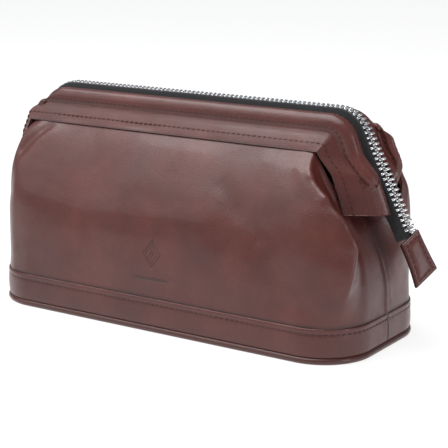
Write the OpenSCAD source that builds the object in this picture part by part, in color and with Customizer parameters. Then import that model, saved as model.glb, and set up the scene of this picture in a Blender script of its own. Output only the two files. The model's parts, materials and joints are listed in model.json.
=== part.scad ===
// Framed leather wash bag with two hinged mouth frames and a zip over the top.
// Origin: centre of the base, on the surface the bag stands on. X runs along the bag, -Y is the front.
// The mouth pieces are swept along one path: flat over the top, a bend, then a slope down each end.
// A section point is [y, d], with d the depth below the path.
// Only the front half is drawn, and the rear mirrors it.

/* [Overall size] */
// Length of the base over its piping
bag_length = 260; // [220:1:320]
// Depth of the base over its piping
bag_depth = 106; // [92:1:130]
// Height of the closed zip above the surface
zip_height = 136; // [122:1:165]

/* [Base] */
// Corner radius of the base outline
base_corner_r = 32; // [22:1:42]
// Diameter of the piping round the bottom edge
piping_d = 4; // [3:0.5:5]
// Diameter of the cord inside the piping
piping_core_d = 2; // [1.5:0.1:2.5]
// Height of the leather band round the base, piping included
base_band_h = 20.5; // [14:0.5:28]
// How far the leather band sits inside the piping
base_band_inset = 1; // [0.5:0.1:2]
// Thickness of the stiffening board in the bottom
board_t = 2; // [1:0.5:3]

/* [Leather and lining] */
// Thickness of the leather
leather_t = 1.3; // [0.9:0.1:1.6]
// Thickness of the lining cloth
lining_t = 0.6; // [0.4:0.1:1]
// Gap between neighbouring layers
layer_gap = 0.25; // [0.15:0.05:0.4]
// Height at which the wall starts to fold as the mouth opens
fold_height = 68; // [56:1:76]
// Corner radius of the wall at that height
wall_corner_r = 20; // [14:1:28]
// How far the middle of each end is drawn in at that height
end_recess = 14; // [6:1:20]
// How far the upper corners puff out
corner_puff = 13; // [6:1:18]
// How far the upper front and rear puff out
face_puff = 3; // [0:0.5:5]

/* [Mouth] */
// Distance from the end of the base to the start of the zip's bend
mouth_inset = 35; // [25:1:50]
// Radius of the zip's bend
bend_r = 20; // [14:1:28]
// Slope of the zip down each end, from level
zip_slope = 62.5; // [55:0.5:66]
// Slope of the frame's arms, from level
frame_slope = 68; // [64:0.5:72]
// Width of the leather mouth band, down from the zip
mouth_band_w = 22; // [18:0.5:26]
// How far below the hinge the mouth band's ends are cut
band_end_drop = 11; // [6:1:15]

/* [Steel frames] */
// Width of the frame strip
frame_w = 8.2; // [6:0.2:9]
// Thickness of the frame strip
frame_t = 1.5; // [1:0.1:2]
// Distance of each strip from the middle plane
frame_gap = 4.8; // [4:0.1:6]
// Height of the hinge below the zip
hinge_drop = 45; // [40:1:50]
// Radius of the hinge rivet's shank
rivet_r = 1.95; // [1.5:0.05:2.4]
// Running clearance of the rivet in the frame's eye
rivet_clearance = 0.05; // [0.02:0.01:0.1]
// Radius of the eye at each end of a frame
eye_r = 5; // [4:0.1:6]

/* [Zip] */
// Spacing of the teeth on one tape
tooth_pitch = 3.1; // [2.6:0.1:3.6]
// Share of the pitch that a tooth fills
tooth_share = 0.4; // [0.3:0.01:0.42]
// Thickness of a tooth
tooth_t = 2.2; // [1.6:0.1:2.6]
// Thickness of the zip tape
tape_t = 0.7; // [0.4:0.1:0.9]
// Length of the zip's right end, along its slope
right_tail_l = 61; // [56:1:66]
// Length of the zip's left end, along its slope
left_tail_l = 45; // [43:1:48]
// Height below the zip at which the ends leave the frames
tail_drop = 17.5; // [16:0.5:22]

/* [Slider and tabs] */
// Length of the slider
slider_l = 11; // [9:0.5:13]
// Width of the slider
slider_w = 8.4; // [7.6:0.2:8.8]
// Length of the puller
puller_l = 25; // [20:1:30]
// Length of a leather tab
tab_l = 25; // [20:1:30]
// Width of a leather tab
tab_w = 15; // [12:0.5:18]
// Thickness of a leather tab
tab_t = 4; // [3:0.2:5]

/* [Hidden] */

leather = [0.33, 0.15, 0.12];
leather_dark = [0.26, 0.11, 0.09];
cloth = [0.16, 0.15, 0.15];
steel = [0.75, 0.75, 0.77];
tape_black = [0.07, 0.07, 0.08];
board_grey = [0.55, 0.5, 0.42];

half_l = bag_length / 2;
half_d = bag_depth / 2;
piping_r = piping_d / 2;
floor_z = leather_t + layer_gap + board_t + layer_gap + lining_t;

// Wall outlines, outside of the leather
band_out = base_band_inset;
wall_out = base_band_inset + leather_t + layer_gap;
wall_bottom_z = piping_d + layer_gap;
plate_inset = max(piping_d + 1, wall_out + leather_t + lining_t + 2 * layer_gap);
end_flat_z = 30;

// Mouth path
flat_half = half_l - mouth_inset;
hinge_z = zip_height - hinge_drop;
band_end_z = hinge_z - band_end_drop;
bend_steps = 5;
tail_z = zip_height - tail_drop;
slit = 0.4;

// Frame strip, between depths strip_d and strip_d + frame_t
strip_d = 5.4;
eye_gap = 0.2;
eye_bend_z = hinge_z + 7.5;
eye_x = line_x(frame_slope, strip_d, eye_bend_z) - frame_t - eye_gap;
rivet_head_r = 3.6;
rivet_head_t = 1;

// Section of the leather mouth band: a roll round the strip, then a flat skirt
roll_y = frame_gap + frame_w + 1.2;
skirt_run = (mouth_band_w - 10) * 0.56;
band_outer = [[-7, 2.6], [-roll_y + 3, 2.8], [-roll_y, 3.9], [-roll_y - 1.5, 6.6],
    [-roll_y - 1.7, 10], [-roll_y - 1.7 - skirt_run, mouth_band_w]];
band_inner = [[-7, 2.6 + leather_t], [-roll_y + 3.3, 2.8 + leather_t],
    [-roll_y + 0.8, 3.9 + leather_t * 0.8], [-roll_y - 1.5 + leather_t, 6.9],
    [-roll_y - 1.7 + leather_t, 10.2],
    [-roll_y - 1.7 - skirt_run + leather_t, mouth_band_w + 0.4]];
panel_top_y = roll_y + 1.7 + skirt_run - leather_t - 0.3;
panel_top_d = mouth_band_w + 2.1;

// Section of the facing that closes the channel from inside
facing_d = strip_d + frame_t + layer_gap;
facing_t = 0.8;
facing_outer = [[-frame_gap, facing_d], [-roll_y + 1.4, facing_d + 0.2],
    [-roll_y - 1.7 + leather_t + 0.4, 10.4],
    [-roll_y - 1.7 - skirt_run * 0.8 + leather_t + 0.4, mouth_band_w - 2.2]];
facing_inner = [for (p = facing_outer) p + [facing_t * 0.7, facing_t * 0.75]];
facing_end_z = eye_bend_z + 7;

// Section of one half of the zip tape, on the frame and where it hangs free; on the frame its outer
// part follows the frame's slope
tape_top = [[-1.8, -tape_t / 2], [-4.6, -tape_t / 2], [-6.8, 2.6 + leather_t + 0.3, frame_slope],
    [-11.2, 4.45, frame_slope]];
tape_free = [[-1.8, -tape_t / 2], [-4.6, -tape_t / 2], [-5.8, 3.5], [-6.6, 8]];
tape_down = [0.15, tape_t, 0];

tooth_w = tooth_pitch * tooth_share;
tooth_reach = 1.6;
tooth_root = 3;
stop_t = tooth_t + 0.4;
arc_l = bend_r * zip_slope * PI / 180;
tab_twist = 36;
left_tab_slope = 80;

// Slider, measured along the left slope
plate_t = 1.1;
plate_gap = tooth_t / 2 + 0.5;
slider_low = left_tail_l - 2.6;
slider_mid = slider_low - slider_l / 2;
bridge_h = 2.4;
pivot_out = plate_gap + plate_t + bridge_h / 2;
puller_t = 1.4;
puller_w = 6;
puller_eye_r = 0.75;

// ---- Outlines and sweeps ----

function bent(d) = max(bend_r - d, 0.4);

function bend_x(slope, d) = flat_half + bend_r * tan(slope / 2) - (d + bent(d)) * tan(slope / 2);

// Point of the bend at angle a from the top
function on_bend(slope, d, a) =
    [bend_x(slope, d) + bent(d) * sin(a), zip_height - d - bent(d) + bent(d) * cos(a)];

// Point of the slope at length t past the bend
function on_slope(slope, d, t) = on_bend(slope, d, slope) + t * [cos(slope), -sin(slope)];

// Where the slope's line reaches height z
function line_x(slope, d, z) =
    let (p = on_bend(slope, d, slope)) p[0] + (p[1] - z) / tan(slope);

function place(side, y, q) = [side * q[0], y, q[1]];

// Section point p at station s, which is [side, kind, value]: kind 0 is a share of the bend, 1 a level
// cut at a height and 2 a square cut at a length along the slope. A third number in p is its own slope
function station(slope, s, p) =
    let (a = len(p) > 2 ? p[2] : slope)
    place(s[0], p[0],
        s[1] == 0 ? on_bend(a, p[1], a * s[2])
        : s[1] == 1 ? [line_x(a, p[1], s[2]), s[2]]
        : on_slope(a, 0, s[2]) - p[1] * [sin(a), cos(a)]);

bends = [
    for (i = [bend_steps:-1:0]) [-1, 0, i / bend_steps],
    for (i = [0:bend_steps]) [1, 0, i / bend_steps]];

function over_mouth(z) = concat([[-1, 1, z]], bends, [[1, 1, z]]);

// The other face of a section, moved by v
function moved(section, v) = [for (p = section) [for (k = [0:len(p) - 1]) p[k] + v[k]]];

function rows(slope, stations, section) = [for (s = stations) [for (p = section) station(slope, s, p)]];

// Closed solid between two grids of points
module skin(outer, inner) {
    n = len(outer);
    m = len(outer[0]);
    points = concat([for (r = outer) each r], [for (r = inner) each r]);
    o = n * m;
    faces = [
        for (i = [0:n - 2], k = [0:m - 2]) each [
            [i * m + k, i * m + k + 1, (i + 1) * m + k + 1],
            [i * m + k, (i + 1) * m + k + 1, (i + 1) * m + k],
            [o + i * m + k, o + (i + 1) * m + k + 1, o + i * m + k + 1],
            [o + i * m + k, o + (i + 1) * m + k, o + (i + 1) * m + k + 1]],
        for (i = [0:n - 2]) each [
            [i * m, (i + 1) * m, o + (i + 1) * m],
            [i * m, o + (i + 1) * m, o + i * m],
            [(i + 1) * m - 1, o + (i + 2) * m - 1, (i + 2) * m - 1],
            [(i + 1) * m - 1, o + (i + 1) * m - 1, o + (i + 2) * m - 1]],
        for (k = [0:m - 2]) each [
            [k, o + k + 1, k + 1],
            [k, o + k, o + k + 1],
            [(n - 1) * m + k, (n - 1) * m + k + 1, o + (n - 1) * m + k + 1],
            [(n - 1) * m + k, o + (n - 1) * m + k + 1, o + (n - 1) * m + k]]];
    polyhedron(points, faces);
}

module to_rear() {
    mirror([0, 1, 0]) children();
}

module to_left() {
    mirror([1, 0, 0]) children();
}

module rounded_plate(inset, r, z, t) {
    x = half_l - inset - r;
    y = half_d - inset - r;
    translate([0, 0, z]) linear_extrude(t) union() {
        square([2 * x, 2 * (y + r)], center = true);
        square([2 * (x + r), 2 * y], center = true);
        for (a = [-1, 1], b = [-1, 1]) translate([a * x, b * y]) circle(r, $fn = 48);
    }
}

module ring(inset, t, z, h) {
    difference() {
        rounded_plate(inset, base_corner_r - inset, z, h);
        rounded_plate(inset + t, base_corner_r - inset - t, z - 1, h + 2);
    }
}

module front_half(z0, z1) {
    translate([-bag_length, -bag_depth - slit / 2, z0]) cube([2 * bag_length, bag_depth, z1 - z0]);
}

// Round cord along the rounded outline at the bottom edge
module edge_cord(r, hollow) {
    c = base_corner_r - piping_r;
    x = half_l - base_corner_r;
    y = half_d - base_corner_r;
    module bar(l) {
        difference() {
            cylinder(r = r, h = l, center = true, $fn = 32);
            if (hollow > 0) cylinder(r = hollow, h = l + 1, center = true, $fn = 32);
        }
    }
    translate([0, 0, piping_r]) {
        for (s = [-1, 1]) {
            translate([0, s * (half_d - piping_r), 0]) rotate([0, 90, 0]) bar(2 * x);
            translate([s * (half_l - piping_r), 0, 0]) rotate([90, 0, 0]) bar(2 * y);
        }
        for (q = [0:3]) translate([[1, -1, -1, 1][q] * x, [1, 1, -1, -1][q] * y, 0]) rotate([0, 0, 90 * q])
            rotate_extrude(angle = 90, $fn = 64) translate([c, 0]) difference() {
                circle(r, $fn = 32);
                if (hollow > 0) circle(hollow, $fn = 32);
            }
    }
}

// ---- Wall ----

function recess(z) =
    end_recess * pow(max(z - end_flat_z, 0) / (fold_height - end_flat_z), 2);

function wall_r(z, inset) =
    base_corner_r - wall_out + (wall_corner_r - base_corner_r + wall_out)
    * max(z - end_flat_z, 0) / (fold_height - end_flat_z) - inset;

end_points = 4;
corner_points = 6;

// Right half of the front outline at height z, from the end seam to the middle of the front
function right_wall(z, inset) =
    let (r = wall_r(z, inset), x = half_l - wall_out - inset, y = half_d - wall_out - inset)
    [for (i = [0:end_points - 1]) let (s = i / end_points)
        [x - recess(z) * (0.5 + 0.5 * cos(180 * s)), -s * (y - r) - (i == 0 ? slit / 2 : 0), z],
    for (i = [0:corner_points]) let (a = 90 * i / corner_points)
        [x - r + r * cos(a), -(y - r) - r * sin(a), z],
    [(x - r) / 2, -y, z]];

// The edge under the mouth band, point for point with right_wall
function right_top(inset) =
    let (y = panel_top_y - inset, low = band_end_z - 1.5, top = zip_height - panel_top_d,
        start = line_x(frame_slope, panel_top_d, low) - inset)
    [for (i = [0:end_points - 1]) let (s = i / end_points)
        [start - 4 * (1 - s), -s * y - (i == 0 ? slit / 2 : 0), low - inset],
    for (i = [0:corner_points]) let (z = low + (top - low) * i / corner_points)
        [line_x(frame_slope, panel_top_d, z) - inset, -y, z - inset],
    [flat_half / 2, -y, top - inset]];

function out_dir(k) =
    k < end_points ? [1, 0, 0]
    : k > end_points + corner_points ? [0, -1, 0]
    : let (a = 90 * (k - end_points) / corner_points) [0.7 * cos(a), -0.3 - 0.7 * sin(a), 0];

function puff(k) =
    k < end_points ? corner_puff * pow(k / end_points, 2) * 0.5
    : k > end_points + corner_points ? face_puff
    : let (a = 180 * (k - end_points) / corner_points) face_puff + (corner_puff - face_puff) * sin(a);

function right_fold(v, inset) =
    let (low = right_wall(fold_height + slit, inset), top = right_top(inset))
    [for (k = [0:len(low) - 1]) low[k] * (1 - v) + top[k] * v + out_dir(k) * puff(k) * 4 * v * (1 - v)];

// Mirrors a right half onto the left and joins them into one row, left end first
function whole(half) =
    concat([for (p = half) [-p[0], p[1], p[2]]], [[0, half[len(half) - 1][1], half[len(half) - 1][2]]],
        [for (i = [len(half) - 1:-1:0]) half[i]]);

wall_steps = 5;
fold_steps = 5;

module wall(inset, t) {
    zs = [for (i = [0:wall_steps]) wall_bottom_z + (fold_height - wall_bottom_z) * i / wall_steps];
    skin([for (z = zs) whole(right_wall(z, inset))], [for (z = zs) whole(right_wall(z, inset + t))]);
}

module fold(inset, t) {
    vs = [for (i = [0:fold_steps]) i / fold_steps];
    skin([for (v = vs) whole(right_fold(v, inset))], [for (v = vs) whole(right_fold(v, inset + t))]);
}

// Bound seam that closes the right end on the inside
module seam_tape() {
    inset = leather_t + lining_t + 2 * layer_gap;
    zs = [for (i = [0:wall_steps]) floor_z + 1 + (fold_height - floor_z - 1) * i / wall_steps];
    function edge(z, y, t) = [half_l - wall_out - inset - recess(z) - t, y, z];
    function face(t) = [for (z = zs) [for (y = [-5, 5]) edge(z, y, t)]];
    skin(face(0), face(1));
}

// ---- Sub-parts ----

module bottom_panel() {
    color(leather) rounded_plate(piping_d, base_corner_r - piping_d, 0, leather_t);
}

module base_board() {
    color(board_grey)
        rounded_plate(plate_inset, base_corner_r - plate_inset, leather_t + layer_gap, board_t);
}

module bottom_lining() {
    color(cloth) rounded_plate(plate_inset, base_corner_r - plate_inset, floor_z - lining_t, lining_t);
}

module bottom_piping() {
    color(leather_dark) edge_cord(piping_r, piping_core_d / 2 + 0.05);
}

module piping_core() {
    color("white") edge_cord(piping_core_d / 2, 0);
}

module front_base_band() {
    color(leather) intersection() {
        ring(band_out, leather_t, wall_bottom_z, base_band_h - wall_bottom_z);
        front_half(0, base_band_h + 1);
    }
}

module rear_base_band() {
    to_rear() front_base_band();
}

module front_panel() {
    color(leather) wall(0, leather_t);
}

module rear_panel() {
    to_rear() front_panel();
}

module front_panel_fold() {
    color(leather) fold(0, leather_t);
}

module rear_panel_fold() {
    to_rear() front_panel_fold();
}

module front_lining() {
    color(cloth) wall(leather_t + layer_gap, lining_t);
}

module rear_lining() {
    to_rear() front_lining();
}

module front_lining_fold() {
    color(cloth) fold(leather_t + layer_gap, lining_t);
}

module rear_lining_fold() {
    to_rear() front_lining_fold();
}

// Slip pocket on the rear lining
module inner_pocket() {
    y = half_d - wall_out - leather_t - lining_t - 3 * layer_gap;
    color(cloth) translate([-70, y - 1, floor_z + 6]) cube([140, 0.8, 45]);
}

module right_seam_tape() {
    color(cloth) seam_tape();
}

module left_seam_tape() {
    to_left() right_seam_tape();
}

// Rivet through both frames' eyes, with its two heads
module right_hinge_rivet() {
    reach = frame_t + 2 * eye_gap;
    color(steel) translate([eye_x, 0, hinge_z]) rotate([0, 90, 0]) {
        cylinder(r = rivet_r, h = 2 * reach + 2 * rivet_head_t, center = true, $fn = 48);
        for (s = [-1, 1]) translate([0, 0, s * (reach + rivet_head_t / 2)])
            cylinder(r = rivet_head_r, h = rivet_head_t, center = true, $fn = 48);
    }
}

module left_hinge_rivet() {
    to_left() right_hinge_rivet();
}

// Half outline of a frame in its own plane, offset d from the path; x is where its end stands upright
function bar_edge(d, x) =
    let (p = on_bend(frame_slope, d, frame_slope), turn_z = p[1] - (x - p[0]) * tan(frame_slope))
    concat([[0, zip_height - d]],
        [for (i = [0:12]) on_bend(frame_slope, d, frame_slope * i / 12)],
        [[x, turn_z], [x, hinge_z]]);

// Steel strip with an upright eye at each end; x is the inner face of its right eye
module frame_bar(x) {
    outer = bar_edge(strip_d, x + frame_t);
    inner = bar_edge(strip_d + frame_t, x);
    front_y = -frame_gap - frame_w;
    module half() {
        translate([0, -frame_gap, 0]) rotate([90, 0, 0]) linear_extrude(frame_w)
            polygon(concat(outer, [for (i = [len(inner) - 1:-1:0]) inner[i]]));
        translate([x, 0, 0]) rotate([90, 0, 90]) linear_extrude(frame_t) union() {
            translate([0, hinge_z]) circle(eye_r, $fn = 64);
            polygon([[front_y, hinge_z + 7], [-frame_gap, hinge_z + 7.5], [1, hinge_z + 0.9 * eye_r],
                [0, hinge_z - 0.9 * eye_r], [-frame_gap, hinge_z - 1.5], [front_y, hinge_z]]);
        }
    }
    color(steel) difference() {
        union() {
            half();
            to_left() half();
        }
        translate([0, 0, hinge_z]) rotate([0, 90, 0])
            cylinder(r = rivet_r + rivet_clearance, h = 2 * bag_length, center = true, $fn = 64);
    }
}

module front_frame_bar() {
    frame_bar(eye_x - eye_gap - frame_t);
}

module rear_frame_bar() {
    to_rear() frame_bar(eye_x + eye_gap);
}

module mouth_strip(slope, outer, inner, z) {
    skin(rows(slope, over_mouth(z), outer), rows(slope, over_mouth(z), inner));
}

module front_mouth_band() {
    color(leather) mouth_strip(frame_slope, band_outer, band_inner, hinge_z + 9);
}

module rear_mouth_band() {
    to_rear() front_mouth_band();
}

module front_facing() {
    color(leather_dark) mouth_strip(frame_slope, facing_outer, facing_inner, facing_end_z);
}

module rear_facing() {
    to_rear() front_facing();
}

// Ends of the mouth band, below the frame
module front_band_ends() {
    cuts = [[1, 1, hinge_z + 9 - slit], [1, 1, band_end_z]];
    module end() {
        skin(rows(frame_slope, cuts, band_outer), rows(frame_slope, cuts, band_inner));
    }
    color(leather) {
        end();
        to_left() end();
    }
}

module rear_band_ends() {
    to_rear() front_band_ends();
}

module front_zip_tape() {
    color(tape_black) mouth_strip(zip_slope, tape_top, moved(tape_top, tape_down), tail_z + slit);
}

module rear_zip_tape() {
    to_rear() front_zip_tape();
}

// Two halves of the tape down the right slope to length l; they draw together towards the tab
module tail_tape(l) {
    spans = [[1, 1, tail_z], [1, 1, hinge_z + 12], [1, 1, hinge_z + 2], [1, 2, l]];
    sections = [tape_top, tape_top, tape_free, tape_free];
    function side(v) = [for (i = [0:3]) [for (p = moved(sections[i], v)) station(zip_slope, spans[i], p)]];
    module half() {
        skin(side([0, 0, 0]), side(tape_down));
    }
    color(tape_black) {
        half();
        to_rear() half();
    }
}

module left_tail_tape() {
    to_left() tail_tape(left_tail_l);
}

module right_tail_tape() {
    tail_tape(right_tail_l);
}

// One tooth of the front tape: a head over the middle plane and legs that clip the tape's edge
module tooth() {
    translate([-tooth_w / 2, -tooth_root, -tooth_t / 2]) difference() {
        cube([tooth_w, tooth_root + tooth_reach, tooth_t]);
        translate([-1, -1, 0.4]) cube([tooth_w + 2, 2.7, tooth_t - 0.8]);
    }
}

// Puts a child on the chain at length s from the middle of the bag
module on_chain(s) {
    side = s < 0 ? -1 : 1;
    l = abs(s);
    angle = min(max(l - flat_half, 0) / bend_r * 180 / PI, zip_slope);
    past = max(l - flat_half - arc_l, 0);
    below = past * [cos(zip_slope), -sin(zip_slope)];
    q = l < flat_half ? [l, zip_height] : on_bend(zip_slope, 0, angle) + below;
    translate([side * q[0], 0, q[1]]) rotate([0, side * angle, 0]) children();
}

top_half_l = flat_half + arc_l + (on_bend(zip_slope, 0, zip_slope)[1] - tail_z) / sin(zip_slope);
tooth_count = floor((top_half_l - tooth_w) / tooth_pitch);

module front_zip_teeth() {
    color(steel) for (i = [-tooth_count:tooth_count - 1]) on_chain((i + 0.25) * tooth_pitch) tooth();
}

module rear_zip_teeth() {
    color(steel) for (i = [-tooth_count:tooth_count - 1])
        on_chain((i + 0.75) * tooth_pitch) to_rear() tooth();
}

// Teeth of both tapes from the frames down to length l of a slope
module tail_teeth(side, l) {
    first = tooth_count + 1;
    last = floor((flat_half + arc_l + l - 1) / tooth_pitch) - 1;
    color(steel) for (i = [first:last]) {
        on_chain(side * (i + 0.25) * tooth_pitch) tooth();
        on_chain(side * (i + 0.75) * tooth_pitch) to_rear() tooth();
    }
}

module left_tail_teeth() {
    tail_teeth(-1, left_tail_l - 3);
}

module right_tail_teeth() {
    tail_teeth(1, right_tail_l - 2);
}

// Local frame on a slope at length t: X up the slope, Z away from the bag
module on_left_slope(t) {
    q = on_slope(zip_slope, 0, t);
    translate([-q[0], 0, q[1]]) rotate([0, -zip_slope, 0]) children();
}

// Clip of length l and half width w round the tapes' edges, with a slot for the tape
module stop(l, w) {
    difference() {
        cube([l, 2 * w, stop_t], center = true);
        for (s = [-1, 1]) translate([0, s * (w + 1.5), 0])
            cube([l + 1, 2 * w, tape_t + 0.3], center = true);
    }
}

// Pair of stops at the end that the slider closes to
module top_stops() {
    color(steel) on_left_slope(left_tail_l - 1.2) difference() {
        stop(2, 3);
        cube([3, 1, stop_t + 1], center = true);
    }
}

module bottom_stop() {
    q = on_slope(zip_slope, 0, right_tail_l - 0.9);
    color(steel) translate([q[0], 0, q[1]]) rotate([0, zip_slope, 0]) stop(1.4, 3);
}

// Folded leather patch over the end of the tape
module zip_tab(l, slope, twist) {
    gap = 0.3 + tab_t * 0.6 * sin(slope - zip_slope);
    q = on_slope(zip_slope, 2 * sin(twist), l) + gap * [cos(slope), -sin(slope)];
    color(leather) translate([q[0], -3 * sin(twist), q[1]])
        rotate([0, slope - 90, 0]) rotate([0, 0, -twist]) rotate([0, 90, 0])
            linear_extrude(tab_t, center = true) hull()
                for (a = [1.5, tab_l - 1.5], b = [-1, 1])
                    translate([a, b * (tab_w / 2 - 1.5)]) circle(1.5, $fn = 24);
}

module left_zip_tab() {
    to_left() zip_tab(left_tail_l, left_tab_slope, 0);
}

module right_zip_tab() {
    zip_tab(right_tail_l, zip_slope, tab_twist);
}

// Slider: two plates, the wedge that parts the teeth, and flanges that hold the tapes' edges
module slider_body() {
    flange_t = 1;
    flange_h = 0.9;
    color(steel) on_left_slope(slider_mid) {
        for (s = [-1, 1]) {
            translate([0, 0, s * (plate_gap + plate_t / 2)])
                cube([slider_l, slider_w, plate_t], center = true);
            for (b = [-1, 1]) translate([0, b * (slider_w - flange_t) / 2, s * (plate_gap - flange_h / 2)])
                cube([slider_l, flange_t, flange_h], center = true);
        }
        translate([-slider_l / 2 + 1.2, 0, 0])
            cylinder(r = 1.2, h = 2 * plate_gap + 0.2, center = true, $fn = 32);
    }
}

module slider_bridge() {
    color(steel) on_left_slope(slider_mid) translate([0, 0, plate_gap + plate_t]) difference() {
        translate([-3.5, -0.9, 0]) cube([7, 1.8, bridge_h + 0.9]);
        translate([-2.5, -2, -1]) cube([5, 4, bridge_h + 0.9]);
    }
}

// Puller that hangs from the bridge by its own pin
module puller() {
    module loop() {
        difference() {
            union() {
                translate([-puller_l, -puller_w / 2, -puller_t / 2])
                    cube([puller_l - 2, puller_w, puller_t]);
                for (b = [-1, 1]) translate([-4, b * (puller_w / 2 - 0.6) - 0.6, -puller_t / 2])
                    cube([4, 1.2, puller_t]);
            }
            translate([-6, -puller_w / 2 + 1.2, -2]) cube([10, puller_w - 2.4, 4]);
            translate([-puller_l + 4.5, 0, 0]) cylinder(r = 1.5, h = 4, center = true, $fn = 32);
        }
        rotate([90, 0, 0]) cylinder(r = puller_eye_r, h = puller_w, center = true, $fn = 32);
    }
    color(steel) on_left_slope(slider_mid) translate([0, 0, pivot_out]) loop();
}

bottom_panel();
base_board();
bottom_lining();
bottom_piping();
piping_core();
front_base_band();
rear_base_band();
front_panel();
rear_panel();
front_panel_fold();
rear_panel_fold();
front_lining();
rear_lining();
front_lining_fold();
rear_lining_fold();
inner_pocket();
left_seam_tape();
right_seam_tape();
left_hinge_rivet();
right_hinge_rivet();
front_frame_bar();
rear_frame_bar();
front_mouth_band();
rear_mouth_band();
front_facing();
rear_facing();
front_band_ends();
rear_band_ends();
front_zip_tape();
rear_zip_tape();
front_zip_teeth();
rear_zip_teeth();
left_tail_tape();
right_tail_tape();
left_tail_teeth();
right_tail_teeth();
top_stops();
bottom_stop();
left_zip_tab();
right_zip_tab();
slider_body();
slider_bridge();
puller();
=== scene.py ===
import json
import math
import bmesh
import bpy
import numpy as np
from mathutils import Matrix, Vector, noise


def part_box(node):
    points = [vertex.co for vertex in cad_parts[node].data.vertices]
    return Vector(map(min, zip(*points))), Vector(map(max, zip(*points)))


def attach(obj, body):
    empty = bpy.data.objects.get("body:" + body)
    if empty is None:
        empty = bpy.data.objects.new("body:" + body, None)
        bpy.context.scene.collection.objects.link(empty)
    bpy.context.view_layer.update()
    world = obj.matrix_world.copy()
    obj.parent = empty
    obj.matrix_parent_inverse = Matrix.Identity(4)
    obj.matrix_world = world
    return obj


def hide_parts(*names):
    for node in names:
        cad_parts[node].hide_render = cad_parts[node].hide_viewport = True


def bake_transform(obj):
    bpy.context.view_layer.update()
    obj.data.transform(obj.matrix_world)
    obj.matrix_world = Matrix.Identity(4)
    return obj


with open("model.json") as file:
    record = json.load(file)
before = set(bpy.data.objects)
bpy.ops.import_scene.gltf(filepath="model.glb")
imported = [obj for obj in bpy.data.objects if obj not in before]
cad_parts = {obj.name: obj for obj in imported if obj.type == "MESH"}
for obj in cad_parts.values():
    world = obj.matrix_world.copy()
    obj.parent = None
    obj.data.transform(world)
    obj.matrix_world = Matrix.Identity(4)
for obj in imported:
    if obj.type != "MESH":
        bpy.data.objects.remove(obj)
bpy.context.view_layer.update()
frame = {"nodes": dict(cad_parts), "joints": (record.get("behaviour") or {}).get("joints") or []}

mm = 0.001
joints = {j["name"]: j for j in frame["joints"]}
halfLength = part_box("bottom_piping")[1].x / mm
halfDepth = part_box("bottom_piping")[1].y / mm
hingeZ = joints["front_frame_hinge"]["pos_m"][2] / mm
toothHeight = 2.2
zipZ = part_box("front_zip_teeth")[1].z / mm - toothHeight / 2
print("frame loaded:", len(frame["nodes"]), "nodes")

# the mouth's path: level over the top, a bend, then a slope down each end

mouth = {
    "bendRadius": 20.0,
    "inset": 35.0,
    "zipSlope": 62.5,
    "frameSlope": 68.0,
    "bandEndDrop": 11.0,
    "rightTail": 61.0,
    "leftTail": 45.0,
}
flatHalf = halfLength - mouth["inset"]
zipSlope = math.radians(mouth["zipSlope"])
frameSlope = math.radians(mouth["frameSlope"])
bandEndZ = hingeZ - mouth["bandEndDrop"]


def bent(depth):
    return max(mouth["bendRadius"] - depth, 0.4)


def bendStart(slope, depth):
    return flatHalf + (mouth["bendRadius"] - depth - bent(depth)) * math.tan(slope / 2)


def onBend(slope, depth, angle):
    r = bent(depth)
    return bendStart(slope, depth) + r * math.sin(angle), zipZ - depth - r + r * math.cos(angle)


def onSlope(slope, depth, length):
    x, z = onBend(slope, depth, slope)
    return x + length * math.cos(slope), z - length * math.sin(slope)


def slopeX(slope, depth, z):
    x, top = onBend(slope, depth, slope)
    return x + (top - z) / math.tan(slope)


def mouthPoint(run, y, depth, slope, endZ):
    # run is 0 in the middle, 1 where a bend starts, 2 where it ends and 3 at the cut
    side = -1 if run < 0 else 1
    r = abs(run)
    if r <= 1:
        x, z = r * bendStart(slope, depth), zipZ - depth
    elif r <= 2:
        x, z = onBend(slope, depth, (r - 1) * slope)
    else:
        x1, z1 = onBend(slope, depth, slope)
        x = x1 + (r - 2) * (slopeX(slope, depth, endZ) - x1)
        z = z1 + (r - 2) * (endZ - z1)
    return side * x, y, z


def mouthRuns(flat, bend, slope):
    half = np.concatenate([np.linspace(0, 1, flat, endpoint=False), np.linspace(1, 2, bend, endpoint=False),
                           np.linspace(2, 3, slope + 1)])
    return np.concatenate([-half[:0:-1], half])


# small tools for meshes

def softLine(points, knots, at):
    # a smooth line through points that never overshoots them
    points, knots = np.asarray(points, float), np.asarray(knots, float)
    step = np.diff(knots)[(...,) + (None,) * (points.ndim - 1)]
    rise = np.diff(points, axis=0) / step
    turn = np.zeros_like(points)
    same = rise[1:] * rise[:-1] > 0
    w1, w2 = 2 * step[1:] + step[:-1], step[1:] + 2 * step[:-1]
    with np.errstate(divide="ignore", invalid="ignore"):
        mean = (w1 + w2) / (w1 / rise[:-1] + w2 / rise[1:])
    turn[1:-1] = np.where(same, mean, 0)
    turn[0], turn[-1] = rise[0], rise[-1]
    i = np.clip(np.searchsorted(knots, at, side="right") - 1, 0, len(knots) - 2)
    shape = (-1,) + (1,) * (points.ndim - 1)
    h = (knots[i + 1] - knots[i]).reshape(shape)
    t = ((np.asarray(at) - knots[i]) / (knots[i + 1] - knots[i])).reshape(shape)
    return ((2 * t**3 - 3 * t**2 + 1) * points[i] + (t**3 - 2 * t**2 + t) * h * turn[i]
            + (3 * t**2 - 2 * t**3) * points[i + 1] + (t**3 - t**2) * h * turn[i + 1])


def smoothSteps(points, count):
    points = np.asarray(points, float)
    knots = stepsAlong(points)
    return softLine(points, knots, np.linspace(0, knots[-1], count))


def ease(t):
    t = np.clip(t, 0, 1)
    return t * t * (3 - 2 * t)


def gridNormals(grid, outward):
    n = np.cross(np.gradient(grid, axis=0), np.gradient(grid, axis=1))
    n /= np.maximum(np.linalg.norm(n, axis=2, keepdims=True), 1e-12)
    return n * outward


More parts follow.
